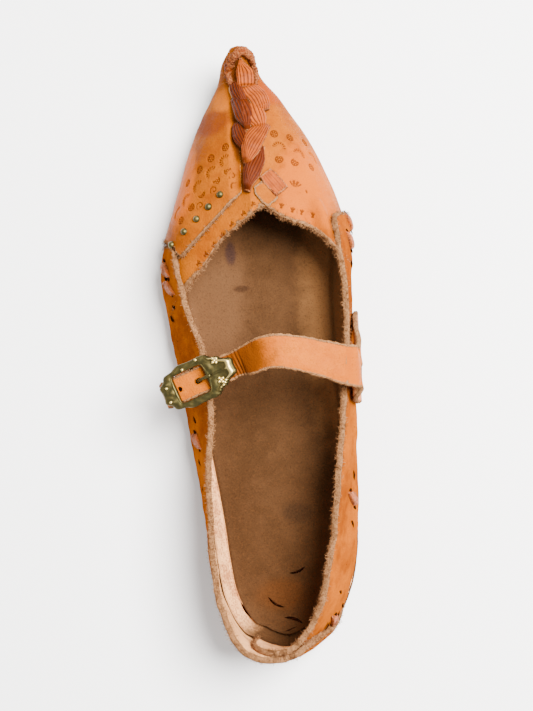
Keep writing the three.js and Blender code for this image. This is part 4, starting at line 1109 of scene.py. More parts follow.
def make_nose_rim():
    places = np.array([ridge_place(pixel) for pixel in NOSE_RIM])
    heights = np.array([1.0, 1.8, 2.0, 1.8, 1.4, 1.8, 2.0, 1.8, 1.0])
    points = over_ridge(places[:, 0], places[:, 1], heights)
    rim = rod("nose_rim", points, NOSE_RIM_SIZES, 26, 120)
    at = np.empty(len(rim.data.vertices) * 3)
    rim.data.vertices.foreach_get("co", at)
    at = at.reshape(-1, 3) / MM
    middle = at.mean(axis=0)
    at += unit(at - middle) * (0.42 * ripple(at, 2.8, 91) + 0.26 * ripple(at, 1.1, 92))[:, None]
    rim.data.vertices.foreach_set("co", (at * MM).ravel())
    return mark_all(rim, edge=0.52, tone=0.5)


BRAID_BASE = [
    # middle, half width
    (104, 62, 2), (105, 82, 3.8), (109, 100, 4.6), (111, 122, 4.2), (111.5, 145, 3.2), (111, 165, 2.4),
    (111, 180, 1),
]


def make_braid_base():
    """The under-strip that shows between the tabs, painted dark as the shade in the gaps between them."""
    stops = np.array([[*ridge_place((x, y)), half] for x, y, half in BRAID_BASE])[::-1]
    y = np.linspace(stops[0, 1], stops[-1, 1], 60)[:, None]
    q = np.linspace(-1, 1, 20)[None, :]
    across = np.interp(y, stops[:, 1], stops[:, 0]) + q * np.interp(y, stops[:, 1], stops[:, 2])
    y = y + 0 * across
    top = over_ridge(across, y, 0.3 + 1.1 * (1 - q ** 2) + 0 * y)
    bottom = over_ridge(across, y, 0.15 + 0 * y)
    # tone 0 and pressed 1 paint it the darkest brown: painted shade in the gaps between the tabs
    marks = {"tone": 0 * y, "pressed": 1 + 0 * y}
    return leaf("braid_base", top, bottom, rings=1, bulge=0, marks=marks, seed=93)


def make_braid():
    tabs = [make_braid_tab(number, *row) for number, row in enumerate(TABS)]
    return [*tabs, make_nose_rim(), make_braid_base()]


SIDE_TAB_START = (127, 172)
SIDE_TAB_END = (144, 191)
THROAT_FLAP_START = (120, 183)
THROAT_FLAP_END = (136, 201)


def surface_strip(name, start, end, width, thickness, ribs, tips, grow, tone, seed):
    """A short flat strip that lies on the vamp between two pixels of the photograph."""
    a, b = wall(*photo_on_vamp([start, end], grow), grow, True)[:, :2]
    t, q = np.linspace(0, 1, 44)[:, None], np.linspace(-1, 1, 34)[None, :]
    way = unit(b - a)
    side = np.array([way[1], -way[0]])
    widen = blend(tips[0], 1, smooth(t, 0, 0.3)) * blend(1, tips[1], smooth(t, 0.7, 1.0))
    plan = a + (b - a) * t[..., None] + side * (q * widen * width / 2)[..., None]
    p, v = on_vamp(plan[..., 0], plan[..., 1])
    groove = 0.2 * np.abs(np.sin(ribs * math.pi * (q + 1) / 2)) ** 0.7 + 0 * t
    low = wall(p, v, GAP + 0 * groove, True)
    high = wall(p, v, GAP + thickness + groove - 0.3 * np.abs(q) ** 3, True)
    # pressed is highest between the ribs: painted shade in the grooves where the braid's material is used
    marks = {"tone": tone + 0 * groove, "pressed": 0.4 * (1 - groove / 0.2)}
    return leaf(name, high, low, rings=3, bulge=0.15, fray=0.12, marks=marks, seed=seed)


# Stamped ornament: small relief patches, each lying in a dish pressed in the leather
STAMP_DEPTH = 0.42


def polar_patch(name, radius, height, sides=90, rings=15):
    """A round patch in millimetres about the origin: height gives its relief from x and y."""
    angles = np.linspace(0, 2 * math.pi, sides, endpoint=False)
    rows = radius * np.linspace(0.02, 1, rings)[:, None]
    x, y = rows * np.cos(angles), rows * np.sin(angles)
    relief = height(x, y) * (1 - smooth(rows / radius, 0.85, 1)) - 0.14 * smooth(rows / radius, 0.92, 1)
    points = np.stack([x, y, relief], axis=-1).reshape(-1, 3)
    index = np.arange(rings * sides).reshape(rings, sides)
    index = np.concatenate([index, index[:, :1]], axis=1)
    faces = [list(face) for face in grid_faces(index)[:, ::-1]] + [list(range(sides))]
    pressed = np.clip(-relief.ravel() / STAMP_DEPTH, 0, 1)
    return make_piece(name, points, faces, {"pressed": pressed, "relief": relief.ravel() * MM})


def groove(away, width):
    return np.exp(-(away / width) ** 2)


def rosette(x, y):
    far, angle = np.hypot(x, y), np.arctan2(y, x)
    petals = groove(far - 1.1, 0.42) * (0.5 + 0.5 * np.cos(6 * angle))
    dish = -STAMP_DEPTH * (1 - smooth(far, 1.75, 2.05))
    return dish + STAMP_DEPTH * petals + STAMP_DEPTH * groove(far, 0.45)


def tick_arc(x, y):
    """A fan of short ticks over the top half of a ring."""
    far, angle = np.hypot(x, y), np.arctan2(y, x)
    ring = smooth(far, 1.9, 2.1) * (1 - smooth(far, 3.1, 3.3))
    ticks = np.abs(np.sin(7.5 * angle)) ** 1.3
    return -STAMP_DEPTH * smooth(y, -0.3, 0.1) * np.maximum(ring * ticks, 0.6 * groove(far - 1.6, 0.18))


def crow_foot(x, y):
    """Three short cuts that spread from one point."""
    deep = np.zeros_like(x)
    for lean in (-0.62, 0, 0.62):
        along = x * math.sin(lean) + y * math.cos(lean)
        off = x * math.cos(lean) - y * math.sin(lean)
        cut = groove(off, 0.32) * smooth(along, -1.0, -0.6)
        deep = np.maximum(deep, cut * (1 - smooth(along, 1.5, 1.9)))
    return -STAMP_DEPTH * deep


def crescent(x, y):
    far = np.hypot(x, y)
    return -STAMP_DEPTH * groove(far - 1.7, 0.4) * smooth(y, -0.2, 0.6)


def shell(x, y):
    far, angle = np.hypot(x, y + 2), np.arctan2(x, y + 2)
    inside = (1 - smooth(np.abs(angle), 0.75, 0.85)) * smooth(far, 0.7, 1.0) * (1 - smooth(far, 3.9, 4.2))
    ribs = np.maximum(np.abs(np.sin(6.0 * angle)) ** 1.6, 0.8 * groove(far - 2.4, 0.22))
    return -STAMP_DEPTH * inside * ribs


def scroll(x, y):
    far, angle = np.hypot(x, y), np.arctan2(y, x)
    spiral = groove((far - 0.5 - 0.28 * (angle + math.pi) / 1.1) / 1.0, 0.24)
    return -0.4 * spiral * (1 - smooth(far, 1.9, 2.2))


MOTIFS = [
    # name, relief, patch radius, dish radius
    ("rosette", rosette, 3.0, 2.1),
    ("tick_arc", tick_arc, 4.3, 3.4),
    ("crow_foot", crow_foot, 3.1, 2.2),
    ("crescent", crescent, 3.1, 2.3),
    ("shell", shell, 5.3, 4.2),
    ("scroll", scroll, 3.1, 2.2),
]
DISH = 0.62
STUD_CLEARANCE = 2.9

# Where each motif shows, in pixels of the photograph
OUTER_STAMPS = {
    "rosette": [(90.1, 145.6), (75.8, 156.8), (65.1, 168.4), (54.4, 181.8), (92.3, 169.3), (81.2, 179.1),
                (66, 192.5), (56.2, 205.9), (46.8, 219.3)],
    "tick_arc": [(90.1, 159.5), (76.7, 171.5), (63.3, 185.8), (52.6, 199.2), (44.1, 211.7)],
    "scroll": [(97.7, 173.8), (78.5, 188.5), (64.6, 204.1)],
    "crescent": [(99.5, 183.6), (87.9, 193.4), (77.1, 204.1), (66.9, 218), (55.7, 234.3)],
}
THROAT_STAMPS = {
    "crow_foot": [(115, 202.8), (105.3, 212.1), (93.7, 222.9), (83.8, 233.6), (75.4, 243.4), (67.3, 253.2),
                  (59.7, 262.1)],
}
INNER_STAMPS = {
    "rosette": [(137.9, 131.2), (154, 135.4), (168.7, 141), (142.8, 157.1), (158.6, 160.6), (175.7, 165.5)],
    "tick_arc": [(142.8, 145.5), (163.1, 153), (176.5, 156.5)],
    "shell": [(158.9, 183)],
    "crescent": [(167, 190.8)],
    "crow_foot": [(132.3, 199.5), (144.9, 205), (156.1, 209.2), (165.9, 211.4), (175.7, 214.4)],
}
OUTER_TURN = math.radians(52)
THROAT_TURN = math.radians(-42)
INNER_TURN = math.radians(-14)


def set_stamps(table, grow, turn):
    """Each stamp's motif number, middle, normal, turn as angles and dish radius, clear of the studs."""
    names = [motif[0] for motif in MOTIFS]
    stamps = []
    studs = np.array([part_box(f"stud_{k}") for k in range(1, 6)]).mean(axis=1)[:, :2] / MM
    for name, pixels in table.items():
        p, v = photo_on_vamp(pixels, grow)
        for at, above in zip(wall(p, v, grow, True), wall(p, v, grow + 1, True)):
            if np.linalg.norm(studs - at[:2], axis=1).min() < STUD_CLEARANCE:
                continue
            normal = unit(above - at)
            east = np.array([math.cos(turn), math.sin(turn), 0])
            east = unit(east - normal * np.dot(east, normal))
            north = np.cross(normal, east)
            angles = Matrix(np.array([east, north, normal]).T.tolist()).to_euler()
            stamps.append((names.index(name), at, normal, tuple(angles), MOTIFS[names.index(name)][3]))
    return stamps


def dishes(stamps):
    return [(at, radius, DISH) for _, at, _, _, radius in stamps]


class Geometry:
    """A small geometry-nodes tree that one object carries as a modifier."""

    def __init__(self, name, **sizes):
        self.tree = bpy.data.node_groups.new(name, "GeometryNodeTree")
        sockets = self.tree.interface
        sockets.new_socket("Geometry", in_out="INPUT", socket_type="NodeSocketGeometry")
        sockets.new_socket("Geometry", in_out="OUTPUT", socket_type="NodeSocketGeometry")
        self.sizes = {}
        for key, value in sizes.items():
            kind = "NodeSocketInt" if isinstance(value, int) else "NodeSocketFloat"
            self.sizes[sockets.new_socket(key, in_out="INPUT", socket_type=kind).identifier] = value
        self.start = self.tree.nodes.new("NodeGroupInput")
        self.end = self.tree.nodes.new("NodeGroupOutput")

    def node(self, kind, settings, inputs):
        made = self.tree.nodes.new(kind)
        for key, value in settings.items():
            setattr(made, key, value)
        for key, value in inputs.items():
            for one in value if isinstance(value, list) else [value]:
                if isinstance(one, bpy.types.NodeSocket):
                    self.tree.links.new(one, made.inputs[key])
                else:
                    made.inputs[key].default_value = one
        return made

    def attribute(self, name, kind="FLOAT"):
        return self.node("GeometryNodeInputNamedAttribute", {"data_type": kind}, {"Name": name}).outputs[0]

    def apply(self, piece, result, material):
        """Runs the tree on the piece, with its result realized and painted, and keeps the plain mesh."""
        whole = self.node("GeometryNodeRealizeInstances", {}, {0: result})
        inputs = {"Geometry": whole.outputs[0], "Material": material}
        painted = self.node("GeometryNodeSetMaterial", {}, inputs)
        self.tree.links.new(painted.outputs[0], self.end.inputs[0])
        modifier = piece.modifiers.new(self.tree.name, "NODES")
        modifier.node_group = self.tree
        for identifier, value in self.sizes.items():
            modifier[identifier] = value
        apply_modifiers(piece)
        return piece


def stamp_patches(name, stamps, under, material):
    """The relief patches of all stamps, each motif placed on its points and laid on the leather under it."""
    carrier = make_piece(name, [at for _, at, _, _, _ in stamps], [])
    numbers = carrier.data.attributes.new("motif", "INT", "POINT")
    numbers.data.foreach_set("value", [stamp[0] for stamp in stamps])
    turns = carrier.data.attributes.new("turn", "FLOAT_VECTOR", "POINT")
    turns.data.foreach_set("vector", np.array([stamp[3] for stamp in stamps]).ravel())
    tree = Geometry(name, Size=1.0)
    size = tree.start.outputs["Size"]
    placed, patches = [], []
    for number, (motif, relief, radius, _) in enumerate(MOTIFS):
        patch = polar_patch(motif, radius, relief)
        patches.append(patch)
        info = tree.node("GeometryNodeObjectInfo", {}, {"Object": patch})
        chosen = tree.node("FunctionNodeCompare", {"data_type": "INT", "operation": "EQUAL"},
                           {2: tree.attribute("motif", "INT"), 3: number})
        turn = tree.node("FunctionNodeEulerToRotation", {}, {0: tree.attribute("turn", "FLOAT_VECTOR")})
        on_points = tree.node("GeometryNodeInstanceOnPoints", {}, {
            "Points": tree.start.outputs[0], "Selection": chosen.outputs[0],
            "Instance": info.outputs["Geometry"], "Rotation": turn.outputs[0], "Scale": size,
        })
        placed.append(on_points.outputs[0])
    joined = tree.node("GeometryNodeJoinGeometry", {}, {0: placed})
    loose = tree.node("GeometryNodeRealizeInstances", {}, {0: joined.outputs[0]})
    leather_under = tree.node("GeometryNodeObjectInfo", {}, {"Object": under}).outputs["Geometry"]
    nearest = tree.node("GeometryNodeProximity", {"target_element": "FACES"}, {0: leather_under})
    facing = tree.node("GeometryNodeSampleNearestSurface", {"data_type": "FLOAT_VECTOR"}, {
        "Mesh": leather_under, "Value": tree.node("GeometryNodeInputNormal", {}, {}).outputs[0],
    })
    out = tree.node("ShaderNodeVectorMath", {"operation": "NORMALIZE"}, {0: facing.outputs[0]})
    lift = tree.node("ShaderNodeVectorMath", {"operation": "SCALE"}, {
        0: out.outputs[0], "Scale": tree.attribute("relief"),
    })
    lying = tree.node("ShaderNodeVectorMath", {"operation": "ADD"}, {
        0: nearest.outputs["Position"], 1: lift.outputs[0],
    })
    laid = tree.node("GeometryNodeSetPosition", {}, {
        "Geometry": loose.outputs[0], "Position": lying.outputs[0],
    })
    tree.apply(carrier, laid.outputs[0], material)
    for helper in [*patches, under]:
        bpy.data.objects.remove(helper)
    return carrier


# Loose fibres on the raw edges
def fibres(name, piece, per_square_mm, length, material, seed):
    """Short bent hairs that stand on the raw edge of a piece."""
    bent = [(0, 0, 0), (0.12, 0, 0.35), (0.36, 0.08, 0.62), (0.7, 0.1, 0.78)]
    hair = rod("hair", bent, [0.075, 0.06, 0.045, 0.03], 3, 3)
    tree = Geometry(name, Density=float(per_square_mm / MM ** 2), Length=float(length), Seed=seed)
    sizes = tree.start.outputs
    raw = tree.node("FunctionNodeCompare", {"operation": "GREATER_THAN"}, {
        0: tree.attribute("edge"), 1: 0.5,
    })
    spread = tree.node("GeometryNodeDistributePointsOnFaces", {}, {
        "Mesh": sizes[0], "Selection": raw.outputs[0], "Density": sizes["Density"], "Seed": sizes["Seed"],
    })
    spin = tree.node("FunctionNodeRandomValue", {"data_type": "FLOAT_VECTOR"}, {
        0: (-0.7, -0.7, -3.14), 1: (0.7, 0.7, 3.14), "Seed": seed,
    })
    turned = tree.node("FunctionNodeRotateRotation", {"rotation_space": "LOCAL"}, {
        0: spread.outputs["Rotation"], 1: spin.outputs[0],
    })
    grown = tree.node("FunctionNodeRandomValue", {"data_type": "FLOAT"}, {2: 0.5, 3: 1.5, "Seed": seed + 1})
    scaled = tree.node("ShaderNodeMath", {"operation": "MULTIPLY"}, {
        0: grown.outputs[1], 1: sizes["Length"],
    })
    info = tree.node("GeometryNodeObjectInfo", {}, {"Object": hair})
    on_points = tree.node("GeometryNodeInstanceOnPoints", {}, {
        "Points": spread.outputs[0], "Instance": info.outputs["Geometry"], "Rotation": turned.outputs[0],
        "Scale": scaled.outputs[0],
    })
    copy = put(name, piece.data.copy())
    tree.apply(copy, on_points.outputs[0], material)
    bpy.data.objects.remove(hair)
    return copy


# The thong that laces the quarter round: it shows in short stitches, each between two slits
def strip_seat(p, lift):
    """How far the outer face of the quarter stands out at p, with the flare of its front end."""
    p = np.asarray(p, float)
    outer = LEATHER - FUSE + flare(p, STITCH_LEVEL, OUTER_STRIP_FRONT, FLARE / 2)
    inner = LEATHER + inner_strip_seat(p) + flare(p, STITCH_LEVEL, INNER_STRIP_FRONT, FLARE)
    return np.where(p < OUTER_STRIP_END, outer, inner) + lift


STITCH_LEVEL = 0.47
STITCH_LENGTH = 7.5
STITCH_WIDTH = 3.2
SLIT_LENGTH = 5.0
SLIT_WIDTH = 2.0

# Where the lacing shows on the outside, in pixels of the photograph
STITCH_PIXELS = [(27, 268), (31, 286), (213, 221), (214, 239), (60, 441), (217, 497), (198, 620)]
SLIT_PIXELS = [
    (36, 306), (34, 318), (41, 341), (57, 420), (62, 463), (66, 490), (218, 473), (217, 522), (210, 563),
    (205, 590), (218, 425), (216, 262), (192, 625), (202, 614), (207, 604),
]


def photo_on_wall(pixels):
    """The quarter's places p and v whose outer face shows at pixels of the photograph."""
    places = np.concatenate([np.linspace(-11.1, -0.2, 500), np.linspace(0.2, 11.1, 500)])[:, None]
    levels = np.linspace(0.3, 0.62, 40)[None, :] + 0 * places
    places = places + 0 * levels
    shown = photo_pixel(wall(places, levels, strip_seat(places, 0), False))
    found = []
    for pixel in pixels:
        k = np.unravel_index(np.argmin(np.linalg.norm(shown - pixel, axis=-1)), places.shape)
        found.append((float(places[k]), float(levels[k])))
    return found


def thong_stitch(p, level, slope, length, width, high, tone, seed):
    """A stitch of thong over the outside of the wall at p, its ends going in through it."""
    t, q = np.linspace(-1, 1, 26)[:, None], np.linspace(-1, 1, 9)[None, :]
    places = place_at(arc_at(p) + t * length / 2) + 0 * q
    wide = width * (1 - 0.18 * np.abs(t) ** 3)
    rise = (slope * t * length / 2 + q * wide / 2) / 45
    arch = high * (1 - np.abs(t) ** 3) - 0.9 * np.abs(t) ** 8
    seat = strip_seat(places, 0)
    v = level + rise + 0 * places
    bottom = wall(places, v, seat - 0.5, False)
    top = wall(places, v, seat + 0.4 + arch + 0.15 * (1 - q ** 2), False)
    marks = {"tone": tone + 0 * v, "pressed": 0 * v}
    return leaf("stitch", top, bottom, rings=2, bulge=0.1, fray=0.06, marks=marks, seed=seed,
                raw=(0, 0, 0.7, 0.7))


def lens(middle, east, normal, length, width, proud):
    """A dark slit: a thin lens lying in a surface, its darkness the painted shade in the cut."""
    north = np.cross(normal, east)
    points, faces = [], []
    for a in np.linspace(0, 2 * math.pi, 20, endpoint=False):
        bend = 0.12 * length * math.cos(a) ** 2
        side = width / 2 * math.sin(a) * abs(math.sin(a)) ** 0.4 + bend
        at = east * length / 2 * math.cos(a) + north * side
        points.append(middle + at - normal * 0.3)
    points.append(middle + normal * proud + north * 0.06 * length)
    for k in range(20):
        faces.append([k, (k + 1) % 20, 20])
    faces.append(list(range(20))[::-1])
    return make_piece("slit", points, faces)


def slit(p, level, lean, length, width):
    """A slit in the outer wall at p."""
    seat = float(strip_seat(p, 0))
    middle = wall(p, level, seat + 0.2, False)
    normal = unit(wall(p, level, seat + 1, False) - wall(p, level, seat, False))
    along = unit(wall(p + 0.02, level, seat, False) - wall(p, level, seat, False))
    up = np.cross(normal, along)
    return lens(middle, along * math.cos(lean) + up * math.sin(lean), normal, length, width, 0.3)


FLOOR_SLITS = [
    # pixel of the photograph, direction in degrees, length
    ((112, 615), -48, 13), ((121, 627), -20, 9), ((150, 632), 12, 12), ((158, 618), 160, 9),
    ((139, 604), -35, 9), ((162, 571), 20, 8), ((86, 556), -82, 9),
]


def floor_slits():
    """Slits and cracks in the footbed at the heel, where the thong comes through, painted dark as the shade
    in them.
    """
    made = []
    for pixel, turn, length in FLOOR_SLITS:
        ray = photo_ray(*pixel)
        high = foot_height(ray[1]) + INSOLE
        middle = ray + (PHOTO_EYE - ray) * high / PHOTO_EYE[2]
        middle[2] = high + 0.25
        east = np.array([math.cos(math.radians(turn)), math.sin(math.radians(turn)), 0])
        made.append(lens(middle, east, np.array([0, 0, 1.0]), length, 1.1, 0.3))
    return made


def make_lacing():
    """The running stitches round both sides, and their slits."""
    stitches, slits = [], []
    draw = np.random.default_rng(201)
    for k, (p, level) in enumerate(photo_on_wall(STITCH_PIXELS)):
        stitches.append(thong_stitch(p, level, 0.5, STITCH_LENGTH, STITCH_WIDTH, 0.8, 0.9, 210 + k))
        at = float(arc_at(p))
        for side in (-1, 1):
            q = float(place_at(at + side * (STITCH_LENGTH / 2 + 0.5)))
            slits.append(slit(q, level + side * 0.03, math.pi / 2 - 0.3, STITCH_WIDTH + 1.6, 1.7))
    for p, level in photo_on_wall(SLIT_PIXELS):
        slits.append(slit(p, level, draw.uniform(0.2, 1.3), SLIT_LENGTH, SLIT_WIDTH))
    return stitches, [*slits, *floor_slits()]


# Materials
def paint(red, green, blue):
    """A colour from 0 to 255 in each part, as light."""
    parts = [c / 255 for c in (red, green, blue)]
    return (*[c / 12.92 if c < 0.04045 else ((c + 0.055) / 1.055) ** 2.4 for c in parts], 1)


class Value:
    """A number, vector or colour in a material, with the usual arithmetic for numbers."""

    def __init__(self, shader, socket):
        self.shader, self.socket = shader, socket

    def maths(self, operation, *terms):
        return self.shader.value("ShaderNodeMath", {"operation": operation}, dict(enumerate(terms)))

    def __add__(self, other):
        return self.maths("ADD", self, other)

    def __sub__(self, other):
        return self.maths("SUBTRACT", self, other)

    def __rsub__(self, other):
        return self.maths("SUBTRACT", other, self)

    def __mul__(self, other):
        return self.maths("MULTIPLY", self, other)

    __radd__ = __add__
    __rmul__ = __mul__


class Shader:
    """A material's node tree, ending in one principled shader."""

    def __init__(self, name, **constants):
        self.material = bpy.data.materials.new(name)
        self.material.use_nodes = True
        self.tree = self.material.node_tree
        self.tree.nodes.clear()
        self.surface = self.node("ShaderNodeBsdfPrincipled", {}, constants)
        self.node("ShaderNodeOutputMaterial", {}, {"Surface": self.surface.outputs[0]})
        self.place = self.value("ShaderNodeTexCoord", {}, {}, "Object")

    def node(self, kind, settings, inputs):
        made = self.tree.nodes.new(kind)
        for key, value in settings.items():
            setattr(made, key, value)
        for key, value in inputs.items():
            value = value.socket if isinstance(value, Value) else value
            if isinstance(value, bpy.types.NodeSocket):
                self.tree.links.new(value, made.inputs[key])
            else:
                made.inputs[key].default_value = value
        return made

    def value(self, kind, settings, inputs, output=0):
        return Value(self, self.node(kind, settings, inputs).outputs[output])

    def mark(self, name):
        """A number kept at the mesh's points."""
        return self.value("ShaderNodeAttribute", {"attribute_name": name}, {}, "Fac")

    def vector(self, operation, a, b):
        return self.value("ShaderNodeVectorMath", {"operation": operation}, {0: a, 1: b})

    def noise(self, size, detail, stretch=(1, 1, 1)):
        """Cloudy noise, about 0.3 to 0.7, whose lumps are size millimetres wide."""
        scale = [1 / (size * MM * part) for part in stretch]
        place = self.vector("MULTIPLY", self.place, scale)
        inputs = {"Vector": place, "Scale": 1.0, "Detail": detail, "Roughness": 0.55}
        return self.value("ShaderNodeTexNoise", {}, inputs, "Fac")

    def cells(self, size):
        inputs = {"Vector": self.place, "Scale": 1 / (size * MM)}
        return self.value("ShaderNodeTexVoronoi", {"feature": "F1"}, inputs, "Distance")

    def rise(self, value, low, high):
        """0 where value is below low, 1 above high, smooth between."""
        inputs = {"Value": value, "From Min": low, "From Max": high}
        return self.value("ShaderNodeMapRange", {"interpolation_type": "SMOOTHSTEP"}, inputs, "Result")

    def mix(self, a, b, share):
        settings = {"data_type": "RGBA", "blend_type": "MIX"}
        return self.value("ShaderNodeMix", settings, {0: share, 6: a, 7: b}, 2)

    def spot(self, middle, radii):
        """1 in the middle of a soft-edged ellipse in millimetres and 0 outside it."""
        away = self.vector("SUBTRACT", self.place, [c * MM for c in middle])
        away = self.vector("DIVIDE", away, [r * MM for r in radii])
        far = self.value("ShaderNodeVectorMath", {"operation": "LENGTH"}, {0: away}, "Value")
        return 1 - self.rise(far, 0.25, 1)

    def bump(self, height, depth):
        """Small relief: height 0 to 1 stands depth millimetres."""
        inputs = {"Height": height, "Distance": depth * MM, "Strength": 1.0}
        return self.value("ShaderNodeBump", {}, inputs)

    def finish(self, **inputs):
        for key, value in inputs.items():
            self.tree.links.new(value.socket, self.surface.inputs[key])
        return self.material


def leather(name, light, deep, flesh, raw, rough, gloss, spots=()):
    """Worn leather: grain on its outer face, suede on its inner face and a raw fibrous cut edge."""
    s = Shader(name, **{"Specular IOR Level": gloss})
    cloud, mottle, fine, fibre = s.noise(30, 4), s.noise(5, 5), s.noise(0.8, 4), s.noise(0.5, 3, (1, 1, 3))
    pores = s.cells(0.75)
    streak = s.noise(1.6, 5, (1, 0.16, 0.5))
    worn = s.rise(cloud * 0.65 + mottle * 0.35, 0.36, 0.64)
    grain = s.mix(deep, light, worn)
    grain = s.mix(grain, paint(46, 18, 2), s.rise(fine * 0.6 + mottle * 0.4, 0.5, 0.72) * 0.4)
    for middle, radii, colour, share in spots:
        patch = s.rise(s.spot(middle, radii) + (mottle - 0.5) * 0.9 + (streak - 0.5) * 0.5, 0.1, 0.8)
        grain = s.mix(grain, colour, patch * share)
    grain = s.mix(grain, paint(56, 22, 2), s.rise(streak, 0.54, 0.74) * 0.24)
    pressed = s.rise(s.mark("pressed") + (fine - 0.5) * 0.3, 0.1, 0.7)
    grain = s.mix(grain, paint(62, 22, 6), pressed * 0.72)
    suede = s.mix(flesh, deep, s.rise(mottle, 0.45, 0.75) * 0.35)
    suede = s.mix(suede, paint(128, 76, 44), s.rise(fibre * 0.6 + mottle * 0.4, 0.46, 0.7) * 0.5)
    cut = s.mix(raw, paint(62, 33, 17), s.rise(fibre * 0.7 + mottle * 0.3, 0.42, 0.66) * 0.8)
    inside = s.rise(s.mark("flesh") + (mottle - 0.5) * 0.2, 0.4, 0.6)
    at_edge = s.rise(s.mark("edge") + (mottle - 0.5) * 0.5 + (fine - 0.5) * 0.6, 0.3, 0.6)
    colour = s.mix(s.mix(grain, suede, inside), cut, at_edge)
    soft = s.rise(inside + at_edge, 0, 1)
    roughness = s.rise(fine, 0.2, 0.8) * 0.16 + (rough - 0.08) + soft * (0.88 - rough)
    height = s.rise(pores, 0, 0.7) * 0.25 * (1 - soft) + fine * 0.5 + mottle * 1.1 + fibre * soft * 1.8
    return s.finish(**{"Base Color": colour, "Roughness": roughness, "Normal": s.bump(height, 0.35)})


TAN = paint(136, 70, 2)
RED_TAN = paint(108, 48, 1)
SUEDE = paint(218, 158, 104)
RAW = paint(126, 88, 56)


def vamp_leather():
    spots = [
        # middle, radii, colour, share
        ((-18, 107, 28), (17, 9, 34), paint(92, 34, 8), 0.7),
        ((-11, 117, 26), (8, 8, 34), paint(160, 82, 6), 0.8),
        ((10, 119, 28), (15, 8, 34), paint(120, 44, 6), 0.6),
        ((24, 72, 30), (20, 34, 44), paint(160, 76, 3), 0.7),
        ((-34, 82, 22), (14, 36, 30), paint(178, 82, 2), 0.7),
        # A dark stain and painted shade along the braid's outer side, under the tabs
        ((-5, 99, 40), (4, 16, 34), paint(48, 14, 2), 0.7),
    ]
    return leather("tan_leather", TAN, RED_TAN, SUEDE, RAW, 0.4, 0.008, spots)


def quarter_leather():
    return leather("quarter_leather", paint(142, 72, 8), paint(104, 46, 4), SUEDE, RAW, 0.5, 0.0)


def strap_leather():
    near_buckle = [((-9, -2, 50), (30, 22, 22), paint(84, 38, 2), 0.95)]
    light, deep = paint(164, 84, 3), paint(142, 67, 2)
    return leather("strap_leather", light, deep, SUEDE, RAW, 0.42, 0.02, near_buckle)


def footbed_leather():
    """The flesh side up: a fine nap over slow changes of tone, paler on the turned-up rim, and painted
    lighter on the inner side, where the inner wall casts its shadow.
    """
    s = Shader("footbed_leather", **{"Roughness": 0.88, "Specular IOR Level": 0.05})
    cloud, mottle, nap, speck = s.noise(38, 3), s.noise(7, 4), s.noise(0.9, 5), s.noise(0.45, 3)
    colour = s.mix(paint(52, 32, 15), paint(64, 41, 22), s.rise(cloud * 0.7 + mottle * 0.3, 0.36, 0.64))
    for middle, radii, tone, share in (
        ((-26, 30, 10), (26, 76, 40), paint(80, 53, 32), 0.9),
        # Painted light: lighter on the inner side, where the inner wall's shadow falls on the footbed
        ((34, 20, 8), (26, 100, 50), paint(116, 78, 44), 0.85),
        ((-15, 49, 8), (4, 9, 30), paint(36, 24, 26), 0.7),
        ((-11, 32, 8), (6, 2.5, 30), paint(30, 16, 8), 0.6),
        ((8, -74, 8), (11, 8, 30), paint(38, 25, 14), 0.5),
        ((-2, -112, 8), (18, 12, 30), paint(74, 38, 8), 0.4),
    ):
        colour = s.mix(colour, tone, s.rise(s.spot(middle, radii) + (mottle - 0.5) * 0.6, 0.05, 1) * share)
    worn_suede = s.mix(SUEDE, paint(140, 84, 50), s.rise(mottle * 0.5 + nap * 0.5, 0.42, 0.62) * 0.8)
    colour = s.mix(colour, worn_suede, s.rise(s.mark("rim") + (mottle - 0.5) * 0.6, 0.3, 0.9) * 0.9)
    colour = s.mix(colour, paint(27, 13, 4), s.rise(nap * 0.5 + speck * 0.5, 0.5, 0.68) * 0.45)
    colour = s.mix(colour, paint(88, 54, 26), s.rise(1 - nap * 0.5 - speck * 0.5, 0.52, 0.7) * 0.3)
    return s.finish(**{"Base Color": colour, "Normal": s.bump(nap + mottle, 0.3)})


def sole_leather():
    return leather("sole_leather", paint(78, 42, 12), paint(58, 28, 7), SUEDE, paint(72, 40, 16), 0.6, 0.1)


def braid_leather():
    """As the vamp's leather, but each strip has its own tone, from dark brown to pale orange. The dark tones
    are partly stain and partly painted shade, and the grooves and the under-strip get painted shade.
    """
    s = Shader("braid_leather", **{"Specular IOR Level": 0.05})
    tone, edge, pressed = s.mark("tone"), s.mark("edge"), s.mark("pressed")
    mottle, fine, fibre = s.noise(4, 4), s.noise(0.7, 4), s.noise(0.5, 3)
    # Dark brown to pale orange by tone: the dark end is partly stain and partly painted shade
    colour = s.mix(paint(70, 24, 2), paint(132, 58, 8), s.rise(tone + (mottle - 0.5) * 0.9, 0.1, 1.0))
    # Painted shade: darker where pressed is high, in the grooves between the ribs and on the under-strip
    colour = s.mix(colour, paint(38, 11, 3), s.rise(pressed + (fine - 0.5) * 0.3, 0.12, 0.5) * 0.8)
    cut = s.mix(paint(138, 84, 48), paint(72, 28, 10), s.rise(fibre * 0.5 + mottle * 0.5, 0.42, 0.62))
    at_edge = s.rise(edge + (mottle - 0.5) * 1.0 + (fine - 0.5) * 0.6, 0.35, 0.65)
    colour = s.mix(colour, cut, at_edge)
    height = fine * 0.5 + mottle * 0.8 + fibre * at_edge * 1.5
    roughness = s.rise(fine, 0.2, 0.8) * 0.2 + 0.34 + at_edge * 0.4
    return s.finish(**{"Base Color": colour, "Roughness": roughness, "Normal": s.bump(height, 0.3)})


